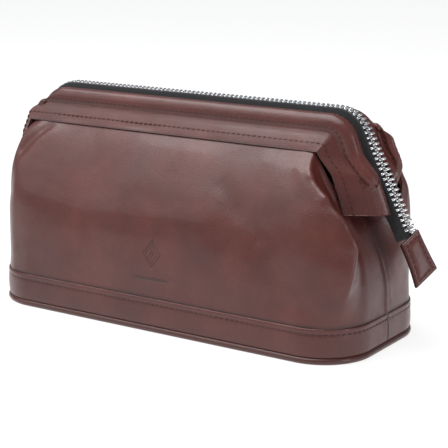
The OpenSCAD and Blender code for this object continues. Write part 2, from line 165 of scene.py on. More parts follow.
def facingSign(grid, row, column, direction):
    # 1 or -1, so that the grid's normals there agree with a direction
    return 1 if gridNormals(grid, 1)[row, column] @ np.array(direction) > 0 else -1


def gridFaces(rows, columns, first, flip):
    i, k = np.meshgrid(np.arange(rows - 1), np.arange(columns - 1), indexing="ij")
    a = (first + i * columns + k).ravel()
    quads = np.stack([a, a + columns, a + columns + 1, a + 1], axis=1)
    return (quads[:, ::-1] if flip else quads).tolist()


def uvGrid(u, v):
    return np.stack(np.meshgrid(u, v, indexing="ij"), axis=2)


def stepsAlong(line):
    # distance along a line of points, at each of them
    return np.concatenate([[0], np.cumsum(np.linalg.norm(np.diff(line, axis=0), axis=1))])


def newObject(name, points, faces, values=None, uv=None):
    mesh = bpy.data.meshes.new(name)
    mesh.from_pydata((np.asarray(points, float).reshape(-1, 3) * mm).tolist(), [], faces)
    for key, data in (values or {}).items():
        attribute = mesh.attributes.new(key, "FLOAT", "POINT")
        attribute.data.foreach_set("value", np.asarray(data, np.float32).ravel())
    if uv is not None:
        layer = mesh.uv_layers.new(name="along")
        corners = np.zeros(len(mesh.loops), np.int32)
        mesh.loops.foreach_get("vertex_index", corners)
        layer.data.foreach_set("uv", np.asarray(uv, np.float32).reshape(-1, 2)[corners].ravel())
    mesh.shade_smooth()
    obj = bpy.data.objects.new(name, mesh)
    bpy.context.scene.collection.objects.link(obj)
    return obj


def sheetBody(name, grid, thickness, outward, shadeAndBurnish=None, uv=None):
    # closed sheet: grid is its outer face, and the inner one lies thickness behind it
    rows, columns = grid.shape[:2]
    inner = grid - gridNormals(grid, outward) * thickness
    count = rows * columns
    faces = gridFaces(rows, columns, 0, outward < 0) + gridFaces(rows, columns, count, outward > 0)
    edge = ([(i, 0) for i in range(rows)] + [(rows - 1, k) for k in range(1, columns)]
            + [(i, columns - 1) for i in range(rows - 2, -1, -1)] + [(0, k) for k in range(columns - 2, 0, -1)])
    ring = [i * columns + k for i, k in edge]
    for a, b in zip(ring, ring[1:] + ring[:1]):
        quad = [a, a + count, b + count, b]
        faces.append(quad[::-1] if outward > 0 else quad)
    # the per-point mask of painted shade and darker edges, the same on both faces
    values = {"shadeAndBurnish": np.concatenate([shadeAndBurnish.ravel()] * 2)} if shadeAndBurnish is not None else None
    both = np.concatenate([uv.reshape(-1, 2)] * 2) if uv is not None else None
    return newObject(name, np.concatenate([grid.reshape(-1, 3), inner.reshape(-1, 3)]), faces, values, both)


def baked(obj):
    # the object with its modifiers turned into plain mesh
    graph = bpy.context.evaluated_depsgraph_get()
    mesh = bpy.data.meshes.new_from_object(obj.evaluated_get(graph))
    obj.modifiers.clear()
    old = obj.data
    obj.data = mesh
    mesh.name = obj.name
    bpy.data.meshes.remove(old)
    return obj


def turnOutwards(obj):
    mesh = bmesh.new()
    mesh.from_mesh(obj.data)
    bmesh.ops.recalc_face_normals(mesh, faces=mesh.faces)
    mesh.to_mesh(obj.data)
    mesh.free()


def dress(obj, material):
    obj.data.materials.clear()
    obj.data.materials.append(material)
    return obj


def rides(obj, body, *nodes):
    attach(obj, body)
    if nodes:
        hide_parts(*nodes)
    return obj


def bends(obj, side, *nodes, early=0.0):
    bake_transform(obj)
    if nodes:
        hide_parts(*nodes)
    return obj


def zipBends(obj, side, *nodes):
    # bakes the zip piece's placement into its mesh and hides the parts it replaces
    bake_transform(obj)
    if nodes:
        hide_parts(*nodes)
    return obj


def mirrored(grid):
    return grid * np.array([1, -1, 1])


def onSide(side, grid, sign):
    # a front piece's grid and sign, turned over for the rear
    return (mirrored(grid), -sign) if side == "rear" else (grid, sign)


# shader groups

def makeGroup(name, inputs, outputs):
    tree = bpy.data.node_groups.new(name, "ShaderNodeTree")
    for label, kind, value in inputs:
        socket = tree.interface.new_socket(name=label, in_out="INPUT", socket_type=kind)
        if value is not None:
            socket.default_value = value
    for label, kind in outputs:
        tree.interface.new_socket(name=label, in_out="OUTPUT", socket_type=kind)
    return tree, tree.nodes.new("NodeGroupInput"), tree.nodes.new("NodeGroupOutput")


def addNode(tree, kind, settings=None, inputs=None):
    # an input is given as a value, or as the socket that feeds it
    node = tree.nodes.new(kind)
    for key, value in (settings or {}).items():
        setattr(node, key, value)
    for key, value in (inputs or {}).items():
        if isinstance(value, bpy.types.NodeSocket):
            tree.links.new(value, node.inputs[key])
        else:
            node.inputs[key].default_value = value
    return node


def calc(tree, operation, a, b=0.0, clamp=False):
    return addNode(tree, "ShaderNodeMath", {"operation": operation, "use_clamp": clamp}, {0: a, 1: b}).outputs[0]


def spread(tree, value, low, high, toLow=0.0, toHigh=1.0):
    return addNode(tree, "ShaderNodeMapRange", {"clamp": True},
                   {0: value, 1: low, 2: high, 3: toLow, 4: toHigh}).outputs[0]


# leather's pores and fine creases, slow swells, blotches of tone and rubbed spots
grainGroup, gIn, gOut = makeGroup("leatherGrain", [
    ("Place", "NodeSocketVector", None), ("Pores per metre", "NodeSocketFloat", 900.0),
    ("Swells per metre", "NodeSocketFloat", 22.0)],
    [("Height", "NodeSocketFloat"), ("Swell", "NodeSocketFloat"), ("Tone", "NodeSocketFloat"),
     ("Rub", "NodeSocketFloat")])
place, pores, swells = gIn.outputs[0], gIn.outputs[1], gIn.outputs[2]
cells = addNode(grainGroup, "ShaderNodeTexVoronoi", {"feature": "DISTANCE_TO_EDGE"},
                {"Vector": place, "Scale": pores, "Randomness": 1.0})
fine = addNode(grainGroup, "ShaderNodeTexNoise", None, {"Vector": place, "Scale": pores, "Detail": 4.0})
slow = addNode(grainGroup, "ShaderNodeTexNoise", None, {"Vector": place, "Scale": swells, "Detail": 2.0,
                                                        "Distortion": 0.6})
tone = addNode(grainGroup, "ShaderNodeTexNoise", None, {"Vector": place, "Scale": 31.0, "Detail": 5.0,
                                                        "Roughness": 0.62})
rub = addNode(grainGroup, "ShaderNodeTexNoise", None, {"Vector": place, "Scale": 130.0, "Detail": 6.0,
                                                       "Roughness": 0.7})
cellEdge = spread(grainGroup, cells.outputs[0], 0.0, 0.25)
height = calc(grainGroup, "ADD", calc(grainGroup, "MULTIPLY", cellEdge, 0.6), fine.outputs[0])
for socket, value in zip(gOut.inputs, [height, slow.outputs[0], tone.outputs[0],
                                       spread(grainGroup, rub.outputs[0], 0.52, 0.72)]):
    grainGroup.links.new(value, socket)

# woven cloth from a UV map in millimetres: threads over and under, with a ribbed stripe
weaveGroup, wIn, wOut = makeGroup("wovenThreads", [
    ("Along", "NodeSocketVector", None), ("Thread", "NodeSocketFloat", 0.5)],
    [("Height", "NodeSocketFloat"), ("Shade", "NodeSocketFloat")])
split = addNode(weaveGroup, "ShaderNodeSeparateXYZ", None, {0: wIn.outputs[0]})
warp = calc(weaveGroup, "DIVIDE", split.outputs[0], wIn.outputs[1])
weft = calc(weaveGroup, "DIVIDE", split.outputs[1], wIn.outputs[1])
overUnder = calc(weaveGroup, "MULTIPLY", calc(weaveGroup, "SINE", calc(weaveGroup, "MULTIPLY", warp, math.pi)),
                 calc(weaveGroup, "SINE", calc(weaveGroup, "MULTIPLY", weft, math.pi)))
ribs = calc(weaveGroup, "ABSOLUTE", calc(weaveGroup, "SINE", calc(weaveGroup, "MULTIPLY", weft, math.pi)))
threads = calc(weaveGroup, "ADD", calc(weaveGroup, "MULTIPLY", overUnder, 0.5), ribs)
weaveGroup.links.new(threads, wOut.inputs[0])
weaveGroup.links.new(spread(weaveGroup, threads, -0.5, 1.5, 0.55, 1.0), wOut.inputs[1])


def newMaterial(name, settings):
    material = bpy.data.materials.new(name)
    material.use_nodes = True
    tree = material.node_tree
    shader = tree.nodes["Principled BSDF"]
    for key, value in settings.items():
        shader.inputs[key].default_value = value
    return material, tree, shader


def addGroup(tree, group, inputs):
    return addNode(tree, "ShaderNodeGroup", {"node_tree": group}, inputs)


def mixColour(tree, share, a, b):
    return addNode(tree, "ShaderNodeMix", {"data_type": "RGBA"}, {"Factor": share, 6: a, 7: b}).outputs[2]


def placeOn(tree):
    return addNode(tree, "ShaderNodeTexCoord").outputs["Object"]


def bumped(tree, height, strength, distance, **inputs):
    return addNode(tree, "ShaderNodeBump", None, {"Strength": strength, "Distance": distance, "Height": height,
                                                  **inputs}).outputs[0]


def finishShader(tree, shader, colour, rough, normal):
    for key, socket in (("Base Color", colour), ("Roughness", rough), ("Normal", normal)):
        tree.links.new(socket, shader.inputs[key])


leatherLook = {
    "deep": (0.070, 0.0150, 0.0112, 1),
    "main": (0.096, 0.0215, 0.0160, 1),
    "warm": (0.122, 0.0300, 0.0220, 1),
    # darkest colour, mixed in for the stamped mark and for the painted shade that the per-point mask lays on
    "burntAndShade": (0.020, 0.0055, 0.0045, 1),
    "roughness": 0.36,
    "coat": 0.24,
    "coatRoughness": 0.14,
    "grainBump": 0.22,
    "swellBump": 0.34,
}


def leatherMaterial(name, look, markBox=None):
    material, tree, shader = newMaterial(name, {
        "Coat Weight": look["coat"], "Coat Roughness": look["coatRoughness"], "IOR": 1.5,
        "Specular IOR Level": 0.42})
    coordinate = placeOn(tree)
    grain = addGroup(tree, grainGroup, {"Place": coordinate})
    colour = mixColour(tree, spread(tree, grain.outputs["Tone"], 0.36, 0.60), look["deep"], look["main"])
    colour = mixColour(tree, spread(tree, grain.outputs["Tone"], 0.58, 0.74, 0.0, 0.8), colour, look["warm"])
    # painted shade: a per-point mask darkens stitch grooves, creases and edges under other parts, and also some edges
    # and ends
    shadeAndBurnish = addNode(tree, "ShaderNodeAttribute", {"attribute_name": "shadeAndBurnish"}).outputs["Fac"]
    colour = mixColour(tree, shadeAndBurnish, colour, look["burntAndShade"])
    rough = calc(tree, "ADD", look["roughness"], calc(tree, "MULTIPLY", grain.outputs["Rub"], 0.16))
    rough = calc(tree, "ADD", rough, calc(tree, "MULTIPLY", shadeAndBurnish, 0.2), clamp=True)
    fine = bumped(tree, grain.outputs["Height"], look["grainBump"], 0.0004)
    normal = bumped(tree, grain.outputs["Swell"], look["swellBump"], 0.004, Normal=fine)
    if markBox:
        depth, centre, halfWidth, halfHeight, ruleDrop = [markBox[k] for k in (
            "depth", "centre", "halfWidth", "halfHeight", "ruleDrop")]
        parts = addNode(tree, "ShaderNodeSeparateXYZ", None, {0: coordinate})
        across = calc(tree, "ABSOLUTE", calc(tree, "SUBTRACT", parts.outputs[0], centre[0]))
        up = calc(tree, "SUBTRACT", parts.outputs[2], centre[1])
        # two nested diamonds and a plain rule below them
        diamond = calc(tree, "ADD", calc(tree, "DIVIDE", across, halfWidth),
                       calc(tree, "DIVIDE", calc(tree, "ABSOLUTE", up), halfHeight))
        stamped = None
        for size, width in markBox["lines"]:
            gap = calc(tree, "ABSOLUTE", calc(tree, "SUBTRACT", diamond, size))
            line = spread(tree, gap, width, width * 0.45)
            stamped = line if stamped is None else calc(tree, "MAXIMUM", stamped, line)
        rule = calc(tree, "MAXIMUM", calc(tree, "DIVIDE", across, halfWidth * 1.9),
                    calc(tree, "DIVIDE", calc(tree, "ABSOLUTE", calc(tree, "ADD", up, ruleDrop)),
                         markBox["ruleHalf"]))
        stamped = calc(tree, "MAXIMUM", stamped, spread(tree, rule, 1.15, 0.85))
        onFront = calc(tree, "LESS_THAN", parts.outputs[1], 0.0)
        stamped = calc(tree, "MULTIPLY", stamped, onFront)
        normal = addNode(tree, "ShaderNodeBump", {"invert": True}, {
            "Strength": 1.0, "Distance": depth, "Height": stamped, "Normal": normal}).outputs[0]
        colour = mixColour(tree, calc(tree, "MULTIPLY", stamped, 0.45), colour, look["burntAndShade"])
        rough = calc(tree, "ADD", rough, calc(tree, "MULTIPLY", stamped, 0.12), clamp=True)
    finishShader(tree, shader, colour, rough, normal)
    return material


stampedMark = {
    "depth": 0.00035,
    "centre": (0.0, 0.048),
    "halfWidth": 0.0062,
    "halfHeight": 0.0080,
    "lines": ((1.0, 0.075), (0.68, 0.05), (0.2, 0.1)),  # share of the full size, and line width
    "ruleDrop": 0.0155,
    "ruleHalf": 0.0009,
}
frontLeather = leatherMaterial("frontLeather", leatherLook, stampedMark)
leather = leatherMaterial("glossyLeather", leatherLook)
pipingLook = dict(leatherLook, main=(0.066, 0.021, 0.017, 1), warm=(0.09, 0.03, 0.024, 1), swellBump=0.2)
pipingLeather = leatherMaterial("pipingLeather", pipingLook)


def clothMaterial(name, dark, light, thread, roughness, sheen):
    material, tree, shader = newMaterial(name, {"Sheen Weight": sheen, "Specular IOR Level": 0.3})
    along = addNode(tree, "ShaderNodeUVMap", {"uv_map": "along"}).outputs[0]
    weave = addGroup(tree, weaveGroup, {"Along": along, "Thread": thread})
    fuzz = addNode(tree, "ShaderNodeTexNoise", None, {"Vector": placeOn(tree), "Scale": 700.0, "Detail": 3.0})
    share = calc(tree, "MULTIPLY", weave.outputs["Shade"], spread(tree, fuzz.outputs[0], 0.3, 0.7, 0.6, 1.0))
    finishShader(tree, shader, mixColour(tree, share, dark, light),
                 spread(tree, fuzz.outputs[0], 0.3, 0.7, roughness - 0.08, roughness + 0.08),
                 bumped(tree, weave.outputs["Height"], 0.6, 0.0002))
    return material


tapeCloth = clothMaterial("zipTape", (0.004, 0.004, 0.0045, 1), (0.020, 0.020, 0.022, 1), 0.55, 0.8, 0.15)
liningCloth = clothMaterial("liningCloth", (0.010, 0.009, 0.009, 1), (0.040, 0.036, 0.034, 1), 0.8, 0.72, 0.3)


def metalMaterial(name, colour, roughness, scratch):
    material, tree, shader = newMaterial(name, {"Metallic": 1.0, "Specular IOR Level": 0.5})
    stretched = addNode(tree, "ShaderNodeMapping", None, {"Vector": placeOn(tree), "Scale": (1.0, 6.0, 1.0)})
    marks = addNode(tree, "ShaderNodeTexNoise", None, {"Vector": stretched.outputs[0], "Scale": 420.0,
                                                       "Detail": 5.0, "Roughness": 0.65})
    dull = tuple(c * 0.72 for c in colour[:3]) + (1,)
    finishShader(tree, shader, mixColour(tree, spread(tree, marks.outputs[0], 0.35, 0.65), dull, colour),
                 spread(tree, marks.outputs[0], 0.3, 0.7, roughness, roughness + scratch),
                 bumped(tree, marks.outputs[0], 0.06, 0.0001))
    return material


zipMetal = metalMaterial("zipMetal", (0.86, 0.86, 0.87, 1), 0.16, 0.16)
frameSteel = metalMaterial("frameSteel", (0.56, 0.56, 0.58, 1), 0.28, 0.2)


def plainFibre(name, dark, light, scale, roughness):
    material, tree, shader = newMaterial(name, {"Specular IOR Level": 0.3})
    fibres = addNode(tree, "ShaderNodeTexNoise", None, {"Vector": placeOn(tree), "Scale": scale, "Detail": 6.0,
                                                        "Roughness": 0.7})
    finishShader(tree, shader, mixColour(tree, spread(tree, fibres.outputs[0], 0.35, 0.65), dark, light),
                 spread(tree, fibres.outputs[0], 0.3, 0.7, roughness - 0.1, roughness + 0.1),
                 bumped(tree, fibres.outputs[0], 0.4, 0.0002))
    return material


thread = plainFibre("stitchThread", (0.045, 0.010, 0.008, 1), (0.125, 0.030, 0.023, 1), 2600.0, 0.6)
greyBoard = plainFibre("greyBoard", (0.20, 0.17, 0.13, 1), (0.38, 0.33, 0.26, 1), 300.0, 0.85)
coreCord = plainFibre("coreCord", (0.55, 0.55, 0.52, 1), (0.82, 0.82, 0.78, 1), 900.0, 0.8)
print("materials made")

# front and rear leather walls with their linings, and the gussets at the hinges

wall = {
    "thickness": 1.3,
    "columns": 380,
    "rows": 116,
    "smoothing": 4,
    "swell": 0.45,
    "swellSize": 38.0,
    "lip": 0.75,
    "climb": 132.0,
}
# half a wall, from the end seam to the middle; each column runs from the base up to the band
seamColumn = [(127.6, 0, 4.3), (128.6, 0, 20), (128.2, 0, 34), (124.4, 0, 51), (116.4, 0, 66), (112, 0, 72),
              (108.4, 0, 75.6), (105.6, 0, 77.8), (103, 0, 78.8)]
frontColumns = [
    [(60, -51.4, 4.3), (60, -51.4, 20), (60, -51.6, 36), (60, -50.8, 52), (60, -48.4, 67), (58, -42.4, 82),
     (56, -35.6, 94.5), (54, -28.8, 105), (52, -20.6, 115.3)],
    [(0, -51.4, 4.3), (0, -51.4, 20), (0, -51.6, 36), (0, -50.8, 52), (0, -48.4, 67), (0, -42.4, 82),
     (0, -35.6, 94.5), (0, -28.8, 105), (0, -20.6, 115.3)],
]
# a corner that stays full up to the band
fullColumns = [
    seamColumn,
    [(128.4, -11, 4.3), (128.6, -11, 20), (128.2, -11, 36), (126.8, -11.5, 50), (123.5, -12, 60), (120.3, -12, 68),
     (117.5, -12, 73), (115.2, -11.5, 77), (114, -11, 79)],
    [(128.4, -18, 4.3), (128.4, -18, 20), (127.8, -18.5, 36), (127.2, -19.5, 50), (126.4, -20.5, 60),
     (126, -21.5, 68), (126, -21.5, 74), (125.4, -20.5, 78), (125, -19, 79.5)],
    [(127.7, -27.3, 4.3), (127.7, -27.3, 20), (126.8, -28, 36), (126, -28.6, 52), (126.3, -28.4, 66),
     (127, -27, 78), (127, -25.5, 86), (126, -23.5, 90), (125, -21.2, 91)],
    [(123.5, -37.6, 4.3), (123.5, -37.6, 20), (122.8, -37.6, 36), (122.4, -37.4, 52), (122.5, -36.8, 68),
     (122.8, -34.5, 81), (122, -30.5, 93), (120, -26, 100.5), (119, -21.3, 103)],
    [(118.7, -43.2, 4.3), (118.7, -43.2, 20), (118.4, -43, 36), (118.2, -42.8, 52), (118.6, -41.8, 68),
     (118.6, -39.2, 82), (117.5, -34.2, 96), (115.2, -28, 107.5), (113.5, -21.3, 112.5)],
    [(110.8, -48.6, 4.3), (110.8, -48.6, 20), (110.8, -48.4, 36), (110.8, -47.8, 52), (111, -46.2, 68),
     (110.5, -42, 83), (109, -36, 96), (106.5, -28.6, 108), (104, -21, 115)],
    [(95, -51.4, 4.3), (95, -51.4, 20), (95, -51.2, 36), (95, -50.4, 52), (95, -48.2, 68), (94, -42.5, 83),
     (92, -35.6, 95.5), (89.5, -28.6, 106), (87, -20.6, 115.3)],
] + frontColumns
# a corner that is tucked in under the band's arm, with a ridge in front of the tuck
tuckedColumns = [
    seamColumn,
    [(128.4, -11, 4.3), (128.6, -11, 20), (128, -10.6, 36), (124.6, -9.8, 52), (117, -9, 66), (112.4, -8.6, 71.8),
     (109, -8.4, 75.5), (106.4, -8.2, 78), (104.4, -8, 79)],
    [(128.2, -24.2, 4.3), (128.2, -24.2, 20), (127.2, -22.8, 36), (124.6, -20.6, 52), (117.4, -17.8, 66),
     (113.6, -17, 73.5), (111.4, -17.4, 78), (110.2, -17.6, 80.5), (109.6, -17.6, 82)],
    [(126.2, -32.4, 4.3), (126.2, -32.4, 20), (125.8, -30, 36), (123.8, -26.4, 52), (117, -22, 66), (112.6, -21, 76),
     (108.6, -21.2, 84), (105.6, -21.3, 90), (103.4, -21.3, 95)],
    [(122.6, -38.9, 4.3), (122.8, -38.9, 20), (125.4, -36.8, 36), (126, -33, 52), (120.4, -28.4, 66),
     (111.6, -26.6, 79), (103.4, -25.2, 90), (97.2, -23.6, 101), (94.4, -21.4, 109)],
    [(118.7, -43.2, 4.3), (119.4, -43.2, 20), (124.2, -42.6, 36), (128.6, -41.2, 52), (129.6, -38, 66),
     (120.8, -38, 80.5), (107.2, -35.6, 92.3), (94.6, -31.4, 103.5), (90.8, -21.2, 114.3)],
    [(111.8, -48.1, 4.3), (112.2, -48.2, 20), (115, -48.2, 36), (117.6, -47, 52), (117.6, -45, 66),
     (110.6, -42.6, 80.5), (99.5, -38.4, 92.5), (90, -33, 103), (86.6, -21, 114.9)],
    [(96, -51.4, 4.3), (96, -51.4, 20), (97, -51.4, 36), (99, -50.4, 52), (98, -48, 66), (92.5, -43.6, 80.5),
     (87, -38, 93), (82, -31, 104), (79, -20.7, 115.2)],
] + frontColumns
# soft dents and ridges: from, to, width and depth, with a ridge as a negative depth
softDents = [
    ((60, -46, 78), (98, -50, 40), 16, 1.0),
    ((-50, -46, 84), (-100, -50, 46), 18, 1.1),
    ((-20, -42, 88), (30, -46, 76), 14, -0.8),
    ((40, -40, 92), (70, -47, 66), 5, 0.5),
]
rightTuck = [
    ((92, -27, 111), (96, -33, 103), 2.8, -0.8), ((96, -33, 103), (108, -37, 92), 2.8, -1.0),
    ((108, -37, 92), (121, -38, 80), 3.0, -1.0), ((97, -25, 110), (104, -29, 99), 3.2, 2.4),
    ((104, -29, 99), (114, -32, 86), 4.0, 3.0), ((114, -32, 86), (122, -32, 72), 5.0, 2.0),
]
leftTuck = [((-99, -25, 112), (-113, -34, 96), 3.6, 1.7), ((-112, -34, 98), (-118, -40, 70), 7.0, 0.9)]


def slowNoise(points, size, seed):
    return np.array([noise.noise(Vector(p) / size + Vector((seed, 0, 0))) for p in points.reshape(-1, 3)]
                    ).reshape(points.shape[:-1])


def wallGrid(left, right, dents, seed):
    left = np.array(left, float) * np.array([-1, 1, 1])
    control = np.concatenate([left, np.array(right, float)[-2::-1]])
    step = np.linalg.norm(np.diff(control, axis=0), axis=2)[:, :6].mean(axis=1)
    across = np.concatenate([[0], np.cumsum(step)])
    climb = np.linalg.norm(np.diff(control, axis=1), axis=2)[5:-5].mean(axis=0)
    up = np.concatenate([[0], np.cumsum(climb)]) * wall["climb"] / climb.sum()
    u = np.linspace(0, across[-1], wall["columns"])
    v = np.linspace(0, up[-1], wall["rows"])
    columns = np.stack([softLine(c, up, v) for c in control])
    grid = softLine(columns, across, u)
    for _ in range(wall["smoothing"]):
        near = (grid[2:, 1:-1] + grid[:-2, 1:-1] + grid[1:-1, 2:] + grid[1:-1, :-2]) / 4
        grid[1:-1, 1:-1] = 0.4 * grid[1:-1, 1:-1] + 0.6 * near
    grid[:, -1] = softLine(control[:, -1], across, u)
    normals = gridNormals(grid, wallSign(grid))
    free = ease((grid[..., 2] - 19) / 12) * ease(np.minimum(v, up[-1] - v)[None] / 14)
    free = free * ease(np.minimum(u, across[-1] - u) / 10)[:, None]
    move = slowNoise(grid, wall["swellSize"], seed) * wall["swell"] * 2 * free
    for start, end, width, depth in dents:
        a, b = np.array(start, float), np.array(end, float)
        t = np.clip(((grid - a) @ (b - a)) / np.dot(b - a, b - a), 0, 1)
        away = np.linalg.norm(grid - a - t[..., None] * (b - a), axis=2)
        move -= depth * np.exp(-((away / width) ** 2)) * free
    return grid + normals * move[..., None], u, v


def wallSign(grid):
    # 1 or -1, so that the normals in the middle of the front face away from the bag
    middle = grid.shape[0] // 2
    n = np.cross(grid[middle + 1, 20] - grid[middle, 20], grid[middle, 21] - grid[middle, 20])
    return 1 if n[1] * grid[middle, 20, 1] > 0 else -1


frontGrid, frontU, wallV = wallGrid(fullColumns, tuckedColumns, softDents + leftTuck + rightTuck, 3.0)
rearGrid, rearU, _ = wallGrid(fullColumns, fullColumns, softDents[:3], 11.0)


def makeWall(side, grid, u):
    sign = wallSign(grid)
    normals = gridNormals(grid, sign)
    toSeam = np.minimum(u, u[-1] - u)
    if side == "front":
        # the front wall's edge is turned over the rear wall's at the end seams
        raised = wall["lip"] * ease((3.2 - toSeam) / 2.2) * ease(toSeam / 0.5 + 0.35)
        grid = grid + normals * raised[:, None, None]
    # painted shade: a dark line beside each end seam at the foot of the front wall's turned lip, and shade on the
    # wall just above the base band's top edge
    dark = np.exp(-((toSeam - 3.4) / 0.9) ** 2)[:, None] * 0.5 * np.ones_like(grid[..., 0])
    dark = np.maximum(dark, 0.85 * ease((23.0 - grid[..., 2]) / 2.6))
    piece = sheetBody(side + "_wall", grid, wall["thickness"], sign, dark, uvGrid(u, wallV))
    dress(piece, frontLeather if side == "front" else leather)
    bends(piece, side, side + "_panel", side + "_panel_fold")


def makeLining(side, grid, u):
    sign = wallSign(grid)
    rows = slice(3, None, 3)
    grid, u, v = grid[::4, rows], u[::4], wallV[rows]
    normals = gridNormals(grid, sign)
    inner = grid - normals * (wall["thickness"] + 0.35)
    piece = sheetBody(side + "_cloth_lining", inner, 0.6, sign, None, uvGrid(u, v))
    dress(piece, liningCloth)
    bends(piece, side, side + "_lining", side + "_lining_fold", early=0.005)


for make in (makeWall, makeLining):
    make("front", frontGrid, frontU)
    make("rear", mirrored(rearGrid), rearU)


gusset = {"columns": 30, "steps": 16, "topZ": 108.0, "topY": 14.0, "cross": 1.5, "sag": 1.2, "bendFrom": 0.086}


def makeGusset(side, hand, grid):
    # cloth that closes the corner between an end seam, the hinge and the frame's arm
    sign = wallSign(grid)
    inner = grid - gridNormals(grid, sign) * (wall["thickness"] + 1.3)
    columns = inner[:gusset["columns"]] if hand < 0 else inner[::-1][:gusset["columns"]]
    out = 1 if side == "rear" else -1
    t = np.linspace(0, 1, gusset["columns"])
    z = hingeZ + 1 + (gusset["topZ"] - hingeZ - 1) * t
    top = np.stack([hand * (np.array([slopeX(frameSlope, 8.0, b) for b in z]) - 1.6),
                    out * (gusset["topY"] * t - gusset["cross"] * (1 - t)), z], axis=1)
    low = columns[:, -8] - np.array([0, out * gusset["cross"], 0]) * (1 - t)[:, None]
    share = np.linspace(0, 1, gusset["steps"])
    points = low[:, None] + (top - low)[:, None] * share[None, :, None]
    points[..., 0] -= hand * gusset["sag"] * np.sin(math.pi * share)[None]
    facingIn = facingSign(points, 6, 6, (-hand, 0, 0))
    uv = uvGrid(t * 24, share * 26)
    piece = sheetBody(side + ("_left" if hand < 0 else "_right") + "_gusset", points, 0.5, facingIn, None, uv)
    dress(piece, liningCloth)
    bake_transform(piece)


for hand in (-1, 1):
    makeGusset("front", hand, frontGrid)
    makeGusset("rear", hand, mirrored(rearGrid))
print("walls, linings and gussets made")

# leather mouth bands

band = {
    "thickness": 1.3,
    # across the band, as distance from the middle plane and depth under the path
    "roll": [(-6.9, 3.1), (-7.3, 2.65), (-8.3, 2.55), (-9.4, 2.15), (-11.0, 1.75), (-13.0, 2.15), (-14.9, 3.7),
             (-16.2, 6.2), (-16.5, 8.4), (-16.1, 10.2), (-15.85, 11.1), (-16.6, 12.6), (-18.4, 15.2), (-20.3, 18.0),
             (-21.7, 20.2), (-22.7, 21.7), (-22.95, 22.2)],
    "flap": [(-7.0, 3.0), (-7.4, 2.7), (-8.3, 3.0), (-9.4, 3.7), (-10.8, 4.8), (-12.2, 6.1), (-13.6, 7.5),
             (-14.9, 9.1), (-15.7, 10.0), (-16.3, 10.9), (-16.8, 11.8), (-17.6, 13.2), (-18.9, 15.4), (-20.4, 17.9),
             (-21.7, 20.2), (-22.7, 21.7), (-22.95, 22.2)],
    "rollEndZ": 99.0,
    "armFlare": 5.0,
    "cornerFlare": 22.0,
    "flareFade": 0.8,
    "flareTopZ": 114.0,
    "across": 50,
    "topRow": 1.6,
    "midRow": 14.2,
    "lowRow": 24.6,
}
rollKnots = stepsAlong(band["roll"])


def bandPoints(run, across, full=True):
    # points on the outer face of the front band, at distances across it from its edge by the zip
    across = np.atleast_1d(np.asarray(across, float))
    section = softLine(band["roll"], rollKnots, across)
    rough = np.array([mouthPoint(run, y, d, frameSlope, bandEndZ) for y, d in section])
    middle = (across - 0.5 * (band["topRow"] + band["midRow"])) / (0.5 * (band["midRow"] - band["topRow"]))
    past = (band["rollEndZ"] - rough[:, 2]) + 4.2 * np.minimum(middle**2, 1.6)
    flat = ease(past / 4.5)[:, None]
    if flat.max() > 0:
        section = section * (1 - flat) + softLine(band["flap"], rollKnots, across) * flat
    points = np.array([mouthPoint(run, y, d, frameSlope, bandEndZ) for y, d in section])
    # both arms lean outwards, and at a full corner the skirt spreads too
    hand = -1 if run < 0 else 1
    height, below = points[:, 2], band["flareTopZ"] - points[:, 2]
    points[:, 0] += hand * band["armFlare"] * ease(below / 14) * ease((height - 58) / 50 + 0.35)
    if full:
        wide = ease((across - 7) / (band["lowRow"] - 7))
        fade = 1 - band["flareFade"] * ease(below / 34)
        points[:, 0] += hand * band["cornerFlare"] * ease((abs(run) - 0.8) / 0.6) * wide * fade
    return points


def makeBand(side):
    runs = mouthRuns(70, 18, 30)
    across = np.linspace(0, rollKnots[-1], band["across"])
    grid = np.stack([bandPoints(r, across, side == "rear" or r < 0) for r in runs])
    # slight waves along the skirt, none at its sewn edges
    calm = ease((across - 12) / 6) * ease((rollKnots[-1] - across) / 3)
    along = stepsAlong(grid[:, 0])
    grid[..., 1] -= calm[None] * (slowNoise(grid, 26.0, 5.0 if side == "front" else 9.0) * 0.5)
    sign = facingSign(grid, len(runs) // 2, 8, (0, 0, 1))
    # painted shade along the stitch grooves, along the lower edge where the band sits over the wall, and along the
    # top edge by the zip tape
    dark = np.zeros(grid.shape[:2])
    for row, width in ((band["midRow"], 0.55), (band["lowRow"], 0.5), (band["topRow"], 0.45)):
        dark = np.maximum(dark, 0.4 * np.exp(-((across - row) / width) ** 2)[None])
    dark = np.maximum(dark, 0.8 * ease((across - rollKnots[-1] + 0.9) / 0.7)[None])
    dark = np.maximum(dark, 0.7 * ease((0.7 - across) / 0.6)[None])
    uv = uvGrid(along, across)
    grid, sign = onSide(side, grid, sign)
    piece = sheetBody(side + "_band", grid, band["thickness"], sign, dark, uv)
    piece.modifiers.new("round", "SUBSURF").levels = 1
    piece.modifiers["round"].render_levels = 1
    baked(piece)
    dress(piece, leather)
    bends(piece, side, side + "_mouth_band", side + "_band_ends")


for side in ("front", "rear"):
    makeBand(side)
print("mouth bands made")

# geometry node trees

def makeTree(name, sockets):
    tree = bpy.data.node_groups.new(name, "GeometryNodeTree")
    tree.interface.new_socket(name="Geometry", in_out="INPUT", socket_type="NodeSocketGeometry")
    for label, kind, value in sockets:
        socket = tree.interface.new_socket(name=label, in_out="INPUT", socket_type=kind)
        if value is not None:
            socket.default_value = value
    tree.interface.new_socket(name="Geometry", in_out="OUTPUT", socket_type="NodeSocketGeometry")
    return tree, tree.nodes.new("NodeGroupInput"), tree.nodes.new("NodeGroupOutput")


def runTree(obj, tree, values):
    modifier = obj.modifiers.new(tree.name, "NODES")
    modifier.node_group = tree
    for item in tree.interface.items_tree:
        if item.in_out == "INPUT" and item.name in values:
            modifier[item.identifier] = values[item.name]
    return baked(obj)


